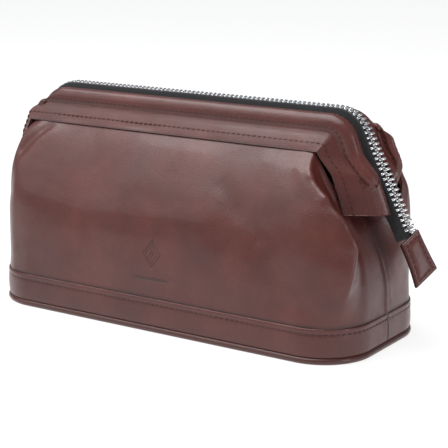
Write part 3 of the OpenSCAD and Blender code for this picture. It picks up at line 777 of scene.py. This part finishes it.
def lineObject(name, lines):
    # each line is (points, normals); the normals say which way is out of the surface
    points, normals, edges = [], [], []
    for p, n in lines:
        first = len(points)
        points += [tuple(q) for q in np.asarray(p) * mm]
        normals += [tuple(q) for q in n]
        edges += [(first + i, first + i + 1) for i in range(len(p) - 1)]
    mesh = bpy.data.meshes.new(name)
    mesh.from_pydata(points, edges, [])
    attribute = mesh.attributes.new("outOfSurface", "FLOAT_VECTOR", "POINT")
    attribute.data.foreach_set("vector", np.asarray(normals, np.float32).ravel())
    obj = bpy.data.objects.new(name, mesh)
    bpy.context.scene.collection.objects.link(obj)
    return obj


def alignedTree(name, sockets, buildShape, spacing):
    # puts a shape along each line, its X along the line and its Z out of the surface
    tree, inputs, output = makeTree(name, sockets)
    curve = addNode(tree, "GeometryNodeMeshToCurve", None, {0: inputs.outputs["Geometry"]})
    even = addNode(tree, "GeometryNodeResampleCurve", {"mode": spacing})
    tree.links.new(curve.outputs[0], even.inputs["Curve"])
    if spacing == "COUNT":
        tree.links.new(inputs.outputs["Count"], even.inputs["Count"])
    else:
        tree.links.new(inputs.outputs["Pitch"], even.inputs["Length"])
    tangent = addNode(tree, "GeometryNodeInputTangent")
    out = addNode(tree, "GeometryNodeInputNamedAttribute", {"data_type": "FLOAT_VECTOR"}, {"Name": "outOfSurface"})
    turn = addNode(tree, "FunctionNodeAlignRotationToVector", {"axis": "X"}, {"Vector": tangent.outputs[0]})
    turn2 = addNode(tree, "FunctionNodeAlignRotationToVector", {"axis": "Z", "pivot_axis": "X"},
                    {"Rotation": turn.outputs[0], "Vector": out.outputs[0]})
    place = addNode(tree, "GeometryNodeInstanceOnPoints", None, {
        "Points": even.outputs[0], "Instance": buildShape(tree, inputs), "Rotation": turn2.outputs[0]})
    real = addNode(tree, "GeometryNodeRealizeInstances", None, {0: place.outputs[0]})
    smooth = addNode(tree, "GeometryNodeSetShadeSmooth", None, {0: real.outputs[0]})
    paint = addNode(tree, "GeometryNodeSetMaterial", None, {"Geometry": smooth.outputs[0],
                                                            "Material": inputs.outputs["Material"]})
    tree.links.new(paint.outputs[0], output.inputs[0])
    return tree


def vectorOf(tree, x, y, z):
    return addNode(tree, "ShaderNodeCombineXYZ", None, {0: x, 1: y, 2: z}).outputs[0]


def stitchShape(tree, inputs):
    ball = addNode(tree, "GeometryNodeMeshUVSphere", None, {"Segments": 8, "Rings": 5, "Radius": 1.0})
    half = calc(tree, "MULTIPLY", inputs.outputs["Length"], 0.5)
    size = vectorOf(tree, half, inputs.outputs["Thickness"],
                    calc(tree, "MULTIPLY", inputs.outputs["Thickness"], 0.8))
    return addNode(tree, "GeometryNodeTransform", None, {
        "Geometry": ball.outputs[0], "Scale": size, "Rotation": (0, 0, 0.16)}).outputs[0]


stitchTree = alignedTree("stitchRow", [
    ("Pitch", "NodeSocketFloat", 0.0034), ("Length", "NodeSocketFloat", 0.0024),
    ("Thickness", "NodeSocketFloat", 0.00042), ("Material", "NodeSocketMaterial", None)], stitchShape, "LENGTH")


tooth = {
    # length across the zip, its centre, and shares of the tooth's width and height
    "clasp": (3.0, -1.85, 1.0, 1.0),
    "neck": (1.0, 0.0, 0.62, 0.6),
    "headSides": 10,
    "headTall": 0.6,
    "headReach": 0.3,
    "headScale": 0.78,
}


def toothShape(tree, inputs):
    # a bar that clasps the tape's edge, with a rounded head that reaches just past the middle
    width, reach = inputs.outputs["Width"], inputs.outputs["Reach"]
    parts = []
    for sizeY, centre, share, tall in (tooth["clasp"], tooth["neck"]):
        box = addNode(tree, "GeometryNodeMeshCube", None, {"Size": vectorOf(
            tree, calc(tree, "MULTIPLY", width, share), sizeY * mm, toothHeight * tall * mm)})
        parts.append(addNode(tree, "GeometryNodeTransform", None, {
            "Geometry": box.outputs[0], "Translation": (0, centre * mm, 0)}).outputs[0])
    head = addNode(tree, "GeometryNodeMeshCylinder", {"fill_type": "NGON"}, {
        "Vertices": tooth["headSides"], "Radius": calc(tree, "MULTIPLY", width, 0.5),
        "Depth": toothHeight * tooth["headTall"] * mm})
    parts.append(addNode(tree, "GeometryNodeTransform", None, {
        "Geometry": head.outputs[0], "Translation": vectorOf(
            tree, 0.0, calc(tree, "MULTIPLY", reach, tooth["headReach"]), 0.0),
        "Scale": (tooth["headScale"], tooth["headScale"], 1.0)}).outputs[0])
    joined = addNode(tree, "GeometryNodeJoinGeometry")
    for part in parts:
        tree.links.new(part, joined.inputs[0])
    return addNode(tree, "GeometryNodeTransform", None, {
        "Geometry": joined.outputs[0], "Rotation": vectorOf(tree, 0.0, 0.0, inputs.outputs["Turn"])}).outputs[0]


toothTree = alignedTree("toothRow", [
    ("Count", "NodeSocketInt", 10), ("Width", "NodeSocketFloat", 0.00125), ("Reach", "NodeSocketFloat", 0.0016),
    ("Turn", "NodeSocketFloat", 0.0), ("Material", "NodeSocketMaterial", None)], toothShape, "COUNT")


stitching = {
    "band": {"Pitch": 0.0035, "Length": 0.0027, "Thickness": 0.00052},
    "base": {"Pitch": 0.0035, "Length": 0.0023, "Thickness": 0.00036},
    "tab": {"Pitch": 0.0031, "Length": 0.0022, "Thickness": 0.0004},
}


def stitches(name, lines, kind):
    obj = lineObject(name, lines)
    runTree(obj, stitchTree, dict(stitching[kind], Material=thread))
    return obj


def surfaceLine(place, steps, lift):
    # points of a stitch row on a surface, with the surface's normals; place(step) gives a 3 by 3 patch
    points, normals = [], []
    for s in steps:
        middle, ahead, beside = place(s)
        n = np.cross(ahead - middle, beside - middle)
        n /= np.linalg.norm(n)
        points.append(middle + n * lift)
        normals.append(n)
    return np.array(points), np.array(normals)


def bandLine(track, lift, out):
    # track is a list of (run, across) along a row
    def place(s):
        run, across = s
        full = out > 0 or run < 0
        middle = bandPoints(run, across, full)[0]
        ahead = bandPoints(run + 0.004, across, full)[0]
        beside = bandPoints(run, across + 0.25, full)[0]
        return middle, ahead, beside
    points, normals = surfaceLine(place, track, 0)
    outward = np.sign(normals[len(normals) // 2] @ np.array([0, -0.7, 0.7]))
    normals *= outward
    points = points + normals * lift
    return (mirrored(points), mirrored(normals)) if out > 0 else (points, normals)


def runAt(depthAcross, z):
    # the run on the right slope at which a row reaches a height
    y, d = softLine(band["roll"], rollKnots, np.array([depthAcross]))[0]
    top = onBend(frameSlope, d, frameSlope)[1]
    return 2 + (top - z) / (top - bandEndZ)


def bandStitches(side):
    out = 1 if side == "rear" else -1
    lines = []
    low, mid, top = band["lowRow"], band["midRow"], band["topRow"]
    runs = np.linspace(-2.97, 2.97, 420)
    lines.append(bandLine([(r, low) for r in runs], 0.05, out))
    lines.append(bandLine([(r, top) for r in runs], 0.05, out))
    turnZ = band["rollEndZ"] - 3.0
    endRun = runAt(mid, turnZ + 2.5)
    lines.append(bandLine([(r, mid) for r in np.linspace(-endRun, endRun, 360)], 0.05, out))
    for hand in (-1, 1):
        turn = []
        for a in np.linspace(0, math.pi, 16):
            across = 0.5 * (top + mid) + 0.5 * (mid - top) * math.cos(a)
            z = turnZ + 2.5 - 3.4 * math.sin(a)
            turn.append((hand * runAt(across, z), across))
        lines.append(bandLine(turn, 0.1, out))
    piece = stitches(side + "_band_stitches", lines, "band")
    bends(piece, side)


for side in ("front", "rear"):
    bandStitches(side)
print("band stitches made")

# zip: tape and teeth

zipPart = {
    "tapeThickness": 0.7,
    "tapeTop": [(-0.9, -0.35, 0), (-3.2, -0.38, 0), (-4.6, -0.35, 0), (-5.5, 1.0, 0), (-6.2, 2.6, 1), (-6.9, 4.15, 1),
                (-9.0, 4.35, 1), (-11.2, 4.5, 1)],
    "tapeFree": [(-0.9, -0.35), (-3.2, -0.38), (-4.6, -0.35), (-5.0, 0.7), (-5.4, 2.1), (-5.8, 3.5), (-6.2, 5.6),
                 (-6.6, 7.8)],
    "pitch": 3.1,
    "toothWidth": 1.3,
    "twist": math.radians(36),
    "endInTab": 4.0,
    "topSteps": 46,
    "bendSteps": 14,
    "endSteps": 44,
    "endKnots": (0, 0.33, 0.5, 1),
}
arcLength = mouth["bendRadius"] * zipSlope


def twistAt(length):
    # the zip's right end turns to the front as it hangs
    return zipPart["twist"] * float(ease((length - flatHalf - 4) / (arcLength + 20)))


def twisted(point, sewnAt):
    # a point of the tape, turned about the chain with it; what is sewn to a band stays
    x, y, z = point
    if x <= flatHalf:
        return point
    height = onBend(zipSlope, 0, zipSlope)[1]
    if z < height:
        length = flatHalf + arcLength + (height - z) / math.sin(zipSlope)
    else:
        angle = math.atan2(x - flatHalf, z - zipZ + mouth["bendRadius"])
        length = flatHalf + mouth["bendRadius"] * min(angle, zipSlope)
    (cx, _, cz), (nx, _, nz) = onChain(length)
    sewn = ease((abs(sewnAt) - 4.6) / 2.3) * ease((z - hingeZ - 2) / 10)
    turn = twistAt(length) * (1 - float(sewn))
    out = (x - cx) * nx + (z - cz) * nz
    newY = y * math.cos(turn) - out * math.sin(turn)
    rise = y * math.sin(turn) + out * math.cos(turn) - out
    return x + rise * nx, newY, z + rise * nz


def tapeLine(index, side):
    # one lengthwise line of the front tape, from the middle of the bag down one end
    y, d, own = zipPart["tapeTop"][index]
    slope = frameSlope if own else zipSlope
    yf, df = zipPart["tapeFree"][index]
    length = mouth["rightTail"] + zipPart["endInTab"] if side > 0 else mouth["leftTail"]
    line = [(bendStart(slope, d) * t, y, zipZ - d) for t in np.linspace(0, 1, zipPart["topSteps"], endpoint=False)]
    for t in np.linspace(0, 1, zipPart["bendSteps"], endpoint=False):
        x, z = onBend(slope, d, slope * t)
        line.append((x, y, z))
    endX, endZ = onSlope(zipSlope, 0, length)
    endX, endZ = endX - df * math.sin(zipSlope), endZ - df * math.cos(zipSlope)
    stops = [(onBend(slope, d, slope)[0], y, onBend(slope, d, slope)[1]),
             (slopeX(slope, d, hingeZ + 12), y, hingeZ + 12),
             (slopeX(zipSlope, df, hingeZ + 2), yf, hingeZ + 2),
             (endX, yf, endZ)]
    line += [tuple(p) for p in softLine(stops, zipPart["endKnots"], np.linspace(0, 1, zipPart["endSteps"]))]
    if side > 0:
        line = [twisted(p, y) for p in line]
    return [(side * x, yy, z) for x, yy, z in line]


def makeTape(side, hidden):
    lines = [list(reversed(tapeLine(k, -1))) + tapeLine(k, 1)[1:] for k in range(len(zipPart["tapeTop"]))]
    coarse = np.array(lines)
    knots = stepsAlong(coarse[:, coarse.shape[1] // 2])
    grid = softLine(coarse, knots, np.linspace(0, knots[-1], 22)).transpose(1, 0, 2)
    along = stepsAlong(grid[:, 0])
    uv = uvGrid(along, np.linspace(0, knots[-1], 22))
    sign = facingSign(grid, len(grid) // 2, 1, (0, 0, 1))
    grid, sign = onSide(side, grid, sign)
    piece = sheetBody(side + "_tape", grid, zipPart["tapeThickness"], sign, None, uv)
    dress(piece, tapeCloth)
    zipBends(piece, side, side + "_zip_tape", hidden + "_tail_tape")


def onChain(s):
    side, length = (-1 if s < 0 else 1), abs(s)
    if length < flatHalf:
        x, z, angle = length, zipZ, 0.0
    else:
        angle = min((length - flatHalf) / mouth["bendRadius"], zipSlope)
        x, z = onBend(zipSlope, 0, angle)
        past = max(length - flatHalf - arcLength, 0)
        x, z = x + past * math.cos(zipSlope), z - past * math.sin(zipSlope)
    return (side * x, 0, z), (side * math.sin(angle), 0, math.cos(angle))


def toothPlace(s):
    place, normal = onChain(s)
    turn = twistAt(s)
    return place, (normal[0] * math.cos(turn), -math.sin(turn), normal[2] * math.cos(turn))


def makeTeeth(side, hidden):
    pitch = zipPart["pitch"]
    phase = 0.25 if side == "front" else 0.75
    top = flatHalf + arcLength
    first = math.ceil((-(top + mouth["leftTail"] - 3.4)) / pitch - phase)
    last = math.floor((top + mouth["rightTail"] + 2.2) / pitch - phase)
    steps = [(k / 3 + phase) * pitch for k in range(3 * first, 3 * last + 1)]
    places = [toothPlace(s) for s in steps]
    obj = lineObject(side + "_teeth", [([p for p, _ in places], [n for _, n in places])])
    runTree(obj, toothTree, {"Count": last - first + 1, "Width": zipPart["toothWidth"] * mm, "Reach": 0.0016,
                             "Turn": 0.0 if side == "front" else math.pi, "Material": zipMetal})
    bevel = obj.modifiers.new("round", "BEVEL")
    bevel.width = 0.00018
    bevel.segments = 1
    bevel.angle_limit = math.radians(50)
    baked(obj)
    zipBends(obj, side, side + "_zip_teeth", hidden + "_tail_teeth")


for side, hidden in (("front", "left"), ("rear", "right")):
    makeTape(side, hidden)
    makeTeeth(side, hidden)
print("zip made")

# base bands, piping and bottom

baseBand = {
    "cornerRadius": 32.0,
    # distance out from the base outline and height, up the outer face and over the turned top edge
    "section": [(-2.1, 3.5), (-1.3, 3.9), (-0.8, 5.0), (-0.6, 7.5), (-0.55, 10.5), (-0.65, 14), (-0.8, 16.2),
                (-0.98, 17.3), (-0.85, 18.4), (-0.72, 19.6), (-0.9, 20.4), (-1.5, 20.8), (-2.1, 20.6)],
    "thickness": 0.5,
    "steps": 300,
    "rowHeight": 17.3,
    "wave": 0.22,
}


def outlinePoint(s, out):
    # s runs from -1 at the left end seam round the front to 1 at the right one
    r = baseBand["cornerRadius"] + out
    straightX, straightY = halfLength - baseBand["cornerRadius"], halfDepth - baseBand["cornerRadius"]
    arc = baseBand["cornerRadius"] * math.pi / 2
    total = straightX + arc + straightY
    length, side = abs(s) * total, (-1 if s < 0 else 1)
    if length < straightX:
        x, y = length, -straightY - r
    elif length < straightX + arc:
        a = (length - straightX) / arc * math.pi / 2
        x, y = straightX + r * math.sin(a), -straightY - r * math.cos(a)
    else:
        x, y = straightX + r, -(total - length) * (1 if total > length else 0)
    return side * x, min(y, -0.08)


def boxOf(node):
    return [np.array(c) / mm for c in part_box(node)]


def plateLoop(out, steps):
    # the base outline moved out or in, closed on itself
    half = [outlinePoint(s, out) for s in np.linspace(-1, 1, steps)]
    loop = half[:-1] + [(-x, -y) for x, y in half][:-1]
    return loop + loop[:1]


def makeBaseBand(side):
    section = smoothSteps(baseBand["section"], 44)
    steps = np.linspace(-1, 1, baseBand["steps"])
    grid = np.array([[(*outlinePoint(s, out), z) for out, z in section] for s in steps])
    heights = section[:, 1]
    wave = slowNoise(grid, 21.0, 17.0 if side == "front" else 23.0) * baseBand["wave"]
    wave *= ease((heights - 5) / 4) * ease((20 - heights) / 2)
    sign = facingSign(grid, len(steps) // 2, 20, (0, -1, 0))
    grid = grid + gridNormals(grid, sign) * wave[..., None]
    # painted shade in the stitch groove and where the strip tucks in above the piping; also darker at its ends by the
    # end seams
    dark = np.maximum(0.5 * np.exp(-((heights - baseBand["rowHeight"]) / 0.5) ** 2), 0.8 * ease(4.6 - heights))
    dark = np.maximum(dark[None], 0.7 * ease((np.abs(steps) - 0.9965) / 0.003)[:, None])
    dark = dark * np.ones(grid.shape[:2])
    grid, sign = onSide(side, grid, sign)
    piece = sheetBody(side + "_base_strip", grid, baseBand["thickness"], sign, dark)
    dress(piece, leather)
    rides(piece, "body", side + "_base_band")
    line, normals = [], []
    for s in np.linspace(-0.985, 0.985, 420):
        x, y = outlinePoint(s, -0.94)
        bx, by = outlinePoint(s, 5.0)
        n = np.array([bx - x, by - y, 0])
        line.append((x, y, baseBand["rowHeight"]))
        normals.append(n / np.linalg.norm(n))
    line, normals = np.array(line), np.array(normals)
    if side == "rear":
        line, normals = mirrored(line), mirrored(normals)
    rides(stitches(side + "_base_stitches", [(line, normals)], "base"), "body")


for side in ("front", "rear"):
    makeBaseBand(side)


def makePiping():
    # leather cord all round the bottom edge
    low, high = boxOf("bottom_piping")
    radius = (high[2] - low[2]) / 2
    rings, turns = [], np.linspace(0, 2 * math.pi, 17)[:-1]
    for (mx, my), (ox, oy) in zip(plateLoop(-radius, 181)[:-1], plateLoop(0, 181)):
        nx, ny = (ox - mx) / radius, (oy - my) / radius
        rings.append([(mx + radius * math.cos(a) * nx, my + radius * math.cos(a) * ny,
                       low[2] + radius + radius * math.sin(a)) for a in turns])
    rows, columns = len(rings), len(turns)
    faces = [[i * columns + k, (i + 1) % rows * columns + k, (i + 1) % rows * columns + (k + 1) % columns,
              i * columns + (k + 1) % columns] for i in range(rows) for k in range(columns)]
    piece = newObject("piping_cord", np.array(rings), faces, {"shadeAndBurnish": np.zeros(rows * columns)})
    turnOutwards(piece)
    dress(piece, pipingLeather)
    rides(piece, "body", "bottom_piping")


makePiping()


def paint(node, material):
    obj = frame["nodes"][node]
    obj.data.materials.clear()
    obj.data.materials.append(material)


for node, material in {
    "base_board": greyBoard, "piping_core": coreCord,
    "front_frame_bar": frameSteel, "rear_frame_bar": frameSteel, "left_hinge_rivet": frameSteel,
    "right_hinge_rivet": frameSteel, "top_stops": zipMetal, "bottom_stop": zipMetal,
}.items():
    paint(node, material)

# facing under each frame, bottom leather, lining on the bottom, pocket and seam tapes

facing = {
    # distance from the middle plane and depth, round the frame's edge and on to behind the skirt
    "section": [(-5.7, 4.95), (-4.7, 5.0), (-4.45, 5.4), (-4.45, 6.9), (-4.8, 7.3), (-9.5, 7.35), (-13.6, 7.6),
                (-14.9, 8.6), (-15.5, 10.6), (-17.4, 14.4), (-19.6, 18.4)],
    "endAbove": 15.0,
    "thickness": 0.7,
}


def makeFacing(side):
    section = smoothSteps(facing["section"], 30)
    runs = mouthRuns(60, 14, 14)
    endZ = hingeZ + facing["endAbove"]
    grid = np.array([[mouthPoint(r, y, d, frameSlope, endZ) for y, d in section] for r in runs])
    sign = facingSign(grid, len(runs) // 2, 10, (0, 0, 1))
    uv = uvGrid(np.arange(len(runs)), np.arange(30))
    grid, sign = onSide(side, grid, sign)
    piece = sheetBody(side + "_channel_facing", grid, facing["thickness"], sign, np.zeros(grid.shape[:2]), uv)
    dress(piece, leather)
    rides(piece, side + "_frame", side + "_facing")


def makeBottom():
    low, high = boxOf("bottom_panel")
    rings = np.concatenate([np.linspace(0.01, 0.9, 12), [0.95, 0.98, 1.0]])
    grid = np.array([[(x * r, y * r, low[2] + 0.25 * float(ease((r - 0.93) / 0.07))) for r in rings]
                     for x, y in plateLoop(high[0] - halfLength, 91)])
    sign = facingSign(grid, 30, 5, (0, 0, -1))
    # painted shade towards the rim, under the piping
    dark = np.tile(0.5 * ease((rings - 0.93) / 0.07), (len(grid), 1))
    piece = sheetBody("bottom_leather", grid, high[2] - low[2] - 0.3, sign, dark)
    dress(piece, leather)
    rides(piece, "body", "bottom_panel")


for side in ("front", "rear"):
    makeFacing(side)
makeBottom()


pocket = {"halfWidth": 70.0, "sag": 1.6, "hem": 0.9}


def makePocket():
    low, high = boxOf("inner_pocket")
    x = np.linspace(low[0], high[0], 90)
    z = np.linspace(low[2], high[2], 34)
    grid = np.array([[(a, low[1], b) for b in z] for a in x])
    across = 1 - (x / pocket["halfWidth"]) ** 2
    rise = (z - low[2]) / (high[2] - low[2])
    grid[..., 1] -= pocket["sag"] * across[:, None] * ease(rise)[None] * 0.9
    grid[..., 1] -= pocket["hem"] * np.exp(-((z - high[2] + 4) / 2.5) ** 2)[None]
    grid[..., 2] -= 1.5 * across[:, None] * ease((rise - 0.6) / 0.4)[None]
    uv = uvGrid(x, z)
    sign = facingSign(grid, 45, 17, (0, -1, 0))
    piece = sheetBody("slip_pocket", grid, 0.6, sign, None, uv)
    dress(piece, liningCloth)
    rides(piece, "body", "inner_pocket")


def makeBottomLining():
    high = boxOf("bottom_lining")[1]
    rings = np.concatenate([np.linspace(0.02, 0.9, 10), [0.97, 1.0]])
    grid = np.array([[(x * r, y * r, high[2] - 0.02 * (1 - r)) for r in rings]
                     for x, y in plateLoop(high[0] - halfLength, 61)])
    sign = facingSign(grid, 30, 5, (0, 0, 1))
    piece = sheetBody("bottom_cloth", grid, 0.55, sign, None, grid[..., :2])
    dress(piece, liningCloth)
    rides(piece, "body", "bottom_lining")


def makeSeamTape(side):
    # narrow binding down the inside of an end seam
    sign = -1 if side == "left" else 1
    columns = frontGrid[0 if side == "left" else -1]
    z = np.linspace(6.0, 68.0, 40)
    x = np.interp(z, columns[:, 2], np.abs(columns[:, 0])) - wall["thickness"] - 1.3
    y = np.linspace(-5, 5, 15)
    grid = np.array([[(sign * (a - 0.5 * math.cos(b / 5 * math.pi / 2) * 0.9), b, c) for b in y]
                     for a, c in zip(x, z)])
    uv = uvGrid(z, y)
    inward = facingSign(grid, 20, 7, (-sign, 0, 0))
    piece = sheetBody(side + "_seam_binding", grid, 0.5, inward, None, uv)
    dress(piece, liningCloth)
    rides(piece, "body", side + "_seam_tape")


makePocket()
makeBottomLining()
for side in ("left", "right"):
    makeSeamTape(side)
print("inside made")

# leather tabs on the zip's ends

tab = {
    "length": 25.0,
    "topWidth": 13.4,
    "endWidth": 16.4,
    "waist": 0.5,
    "halfThickness": 2.0,
    "edgeRound": 1.3,
    "grooveIn": 2.5,
    "grooveDepth": 0.2,
    "cornerRound": 1.6,
    "leftSlope": math.radians(80),
    "skew": 0.35,
    "drop": 3.2,
}


def tabPlace(side):
    # the tab's own axes: X through it, Y across it and -Z along it
    if side == "right":
        slope, twist, length = zipSlope, zipPart["twist"], mouth["rightTail"]
    else:
        slope, twist, length = tab["leftSlope"], 0.0, mouth["leftTail"]
    gap = 0.3 + 4 * 0.6 * math.sin(slope - zipSlope)
    x, z = onSlope(zipSlope, 0, length)
    depth = 2 * math.sin(twist)
    x, z = x - depth * math.sin(zipSlope), z - depth * math.cos(zipSlope)
    x, z = x + gap * math.cos(slope), z - gap * math.sin(slope)
    hand = 1 if side == "right" else -1
    return (Matrix.Translation((hand * x, -3 * math.sin(twist), z))
            @ Matrix.Rotation(hand * (slope - math.pi / 2), 4, "Y") @ Matrix.Rotation(-twist, 4, "Z"))


def tabHalfWidth(a):
    t = a / tab["length"]
    return (tab["topWidth"] * (1 - t) + tab["endWidth"] * t) / 2 - tab["waist"] * math.sin(math.pi * t)


def tabHeight(a, b):
    w = tabHalfWidth(a)
    edge = max(min(w - abs(b), a, tab["length"] - a), 0)
    r = tab["edgeRound"]
    h = tab["halfThickness"] - r + r * math.sqrt(max(1 - (1 - min(edge / r, 1)) ** 2, 0))
    h -= tab["grooveDepth"] * math.exp(-(((edge - tab["grooveIn"]) / 0.55) ** 2))
    return h + 0.1 * float(ease((edge - 3.2) / 2.0))


def makeTab(side):
    matrix = tabPlace(side)
    skew, drop = (tab["skew"], tab["drop"]) if side == "right" else (0, 0)

    def at(through, across, along):
        # the right tab is cut on the skew, with its front side lower
        return tuple(matrix @ Vector((through, across, -along - drop + skew * across)))

    rows, columns = 56, 40
    lengths = tab["length"] * (0.5 - 0.5 * np.cos(np.linspace(0, math.pi, rows)))
    shares = np.sin(np.linspace(-math.pi / 2, math.pi / 2, columns))
    faces, points, dark = [], [], []
    for face in (1, -1):
        for a in lengths:
            for s in shares:
                w = tabHalfWidth(a)
                pull = tab["cornerRound"] * (1 - min(a, tab["length"] - a, tab["cornerRound"]) / tab["cornerRound"])
                b = s * (w - pull * 0.4 * abs(s) ** 6)
                bow = 0.5 * math.sin(math.pi * a / tab["length"]) - 0.004 * b * b
                points.append(at(face * tabHeight(a, b) + bow, b, a))
                edge = min(w - abs(b), a, tab["length"] - a)
                # painted shade in the stitch groove; also darker along the tab's edges
                dark.append(max(0.55 * math.exp(-(((edge - tab["grooveIn"]) / 0.5) ** 2)),
                                0.75 * float(ease((0.9 - edge) / 0.9))))
    count = rows * columns
    faces = gridFaces(rows, columns, 0, False) + gridFaces(rows, columns, count, True)
    ring = ([i * columns for i in range(rows)] + [(rows - 1) * columns + k for k in range(1, columns)]
            + [i * columns + columns - 1 for i in range(rows - 2, -1, -1)] + list(range(columns - 2, 0, -1)))
    faces += [[a, b, b + count, a + count] for a, b in zip(ring, ring[1:] + ring[:1])]
    piece = newObject(side + "_tab", points, faces, {"shadeAndBurnish": dark})
    turnOutwards(piece)
    dress(piece, leather)
    rides(piece, "body", side + "_zip_tab")
    lines = []
    for face in (1, -1):
        track = []
        inset = tab["grooveIn"]
        corners = [(inset, -1), (tab["length"] - inset, -1), (tab["length"] - inset, 1), (inset, 1), (inset, -1)]
        for (a0, s0), (a1, s1) in zip(corners, corners[1:]):
            for t in np.linspace(0, 1, 20, endpoint=False):
                a = a0 + (a1 - a0) * t
                track.append((a, (s0 + (s1 - s0) * t) * (tabHalfWidth(a) - inset)))
        points, normals = [], []
        for a, b in track + track[:1]:
            bow = 0.5 * math.sin(math.pi * a / tab["length"]) - 0.004 * b * b
            points.append(at(face * (tabHeight(a, b) + 0.08) + bow, b, a))
            normals.append(tuple(matrix.to_3x3() @ Vector((face, 0, 0))))
        lines.append((np.array(points), np.array(normals)))
    rides(stitches(side + "_tab_stitches", lines, "tab"), "body")


for side in ("right", "left"):
    makeTab(side)

# slider and puller, with rounded edges

def softCopy(node, name, body, material, width, segments):
    source = frame["nodes"][node]
    piece = bpy.data.objects.new(name, source.data.copy())
    bpy.context.scene.collection.objects.link(piece)
    mesh = bmesh.new()
    mesh.from_mesh(piece.data)
    bmesh.ops.remove_doubles(mesh, verts=mesh.verts, dist=1e-6)
    bmesh.ops.dissolve_limit(mesh, angle_limit=math.radians(1.5), verts=mesh.verts, edges=mesh.edges)
    mesh.to_mesh(piece.data)
    mesh.free()
    bevel = piece.modifiers.new("edges", "BEVEL")
    bevel.width = width
    bevel.segments = segments
    bevel.angle_limit = math.radians(40)
    baked(piece)
    piece.data.shade_smooth()
    piece.data.set_sharp_from_angle(angle=math.radians(38))
    dress(piece, material)
    return rides(piece, body, node)


softCopy("slider_body", "slider_shell", "slider", zipMetal, 0.00028, 2)
softCopy("slider_bridge", "slider_arch", "slider", zipMetal, 0.00030, 2)
softCopy("puller", "puller_tag", "puller", zipMetal, 0.00030, 2)
print("tabs, slider and puller made")

# stage, lights and camera

studio = {
    "floorTone": 0.28,
    "floorGlow": 0.82,
    "skyColour": (0.92, 0.95, 1.0, 1),
    "skyStrength": 0.30,
    "cameraPlace": (0.4787, -0.6926, 0.2577),
    "cameraAzimuth": math.radians(33.71),
    "cameraElevation": math.radians(13.49),
    "lensLength": 113.4,
    # name, place, aim, size, power and colour
    "softboxes": [
        ("overhead", (-0.3, -0.3, 1.3), (0, 0, 0.05), (1.5, 1.0), 22, (1, 1, 1)),
        ("frontLeft", (-1.2, -1.0, 1.1), (0, 0, 0.06), (1.6, 1.4), 9, (1, 1, 1)),
        ("rightSide", (1.5, -0.25, 0.45), (0, 0, 0.06), (0.35, 0.8), 4.5, (0.93, 0.96, 1.0)),
    ],
}
floorMaterial = newMaterial("paleFloor", {
    "Roughness": 0.6, "Specular IOR Level": 0.1, "Emission Strength": studio["floorGlow"],
    "Emission Color": (1, 1, 1, 1), "Base Color": (*[studio["floorTone"]] * 3, 1)})[0]
bpy.ops.mesh.primitive_plane_add(size=24, location=(0, 0, 0))
floor = bpy.context.object
floor.name = "floor"
floor.data.materials.append(floorMaterial)

world = bpy.data.worlds.new("studio")
bpy.context.scene.world = world
world.use_nodes = True
sky = world.node_tree.nodes["Background"]
sky.inputs["Color"].default_value = studio["skyColour"]
sky.inputs["Strength"].default_value = studio["skyStrength"]

for name, place, aim, size, power, colour in studio["softboxes"]:
    data = bpy.data.lights.new(name, "AREA")
    data.shape = "RECTANGLE"
    data.size, data.size_y = size
    data.energy = power
    data.color = colour
    lamp = bpy.data.objects.new(name, data)
    bpy.context.scene.collection.objects.link(lamp)
    lamp.location = place
    lamp.rotation_euler = (Vector(aim) - Vector(place)).to_track_quat("-Z", "Y").to_euler()

bpy.context.scene.view_settings.view_transform = "Standard"
lens = bpy.data.cameras.new("camera")
camera = bpy.data.objects.new("camera", lens)
bpy.context.scene.collection.objects.link(camera)
bpy.context.scene.camera = camera
lens.sensor_width = 36
lens.lens = studio["lensLength"]
lens.clip_start = 0.01
azimuth, elevation = studio["cameraAzimuth"], studio["cameraElevation"]
looking = Vector((-math.sin(azimuth) * math.cos(elevation), math.cos(azimuth) * math.cos(elevation),
                  -math.sin(elevation)))
camera.location = studio["cameraPlace"]
camera.rotation_euler = looking.to_track_quat("-Z", "Y").to_euler()
print("stage set")
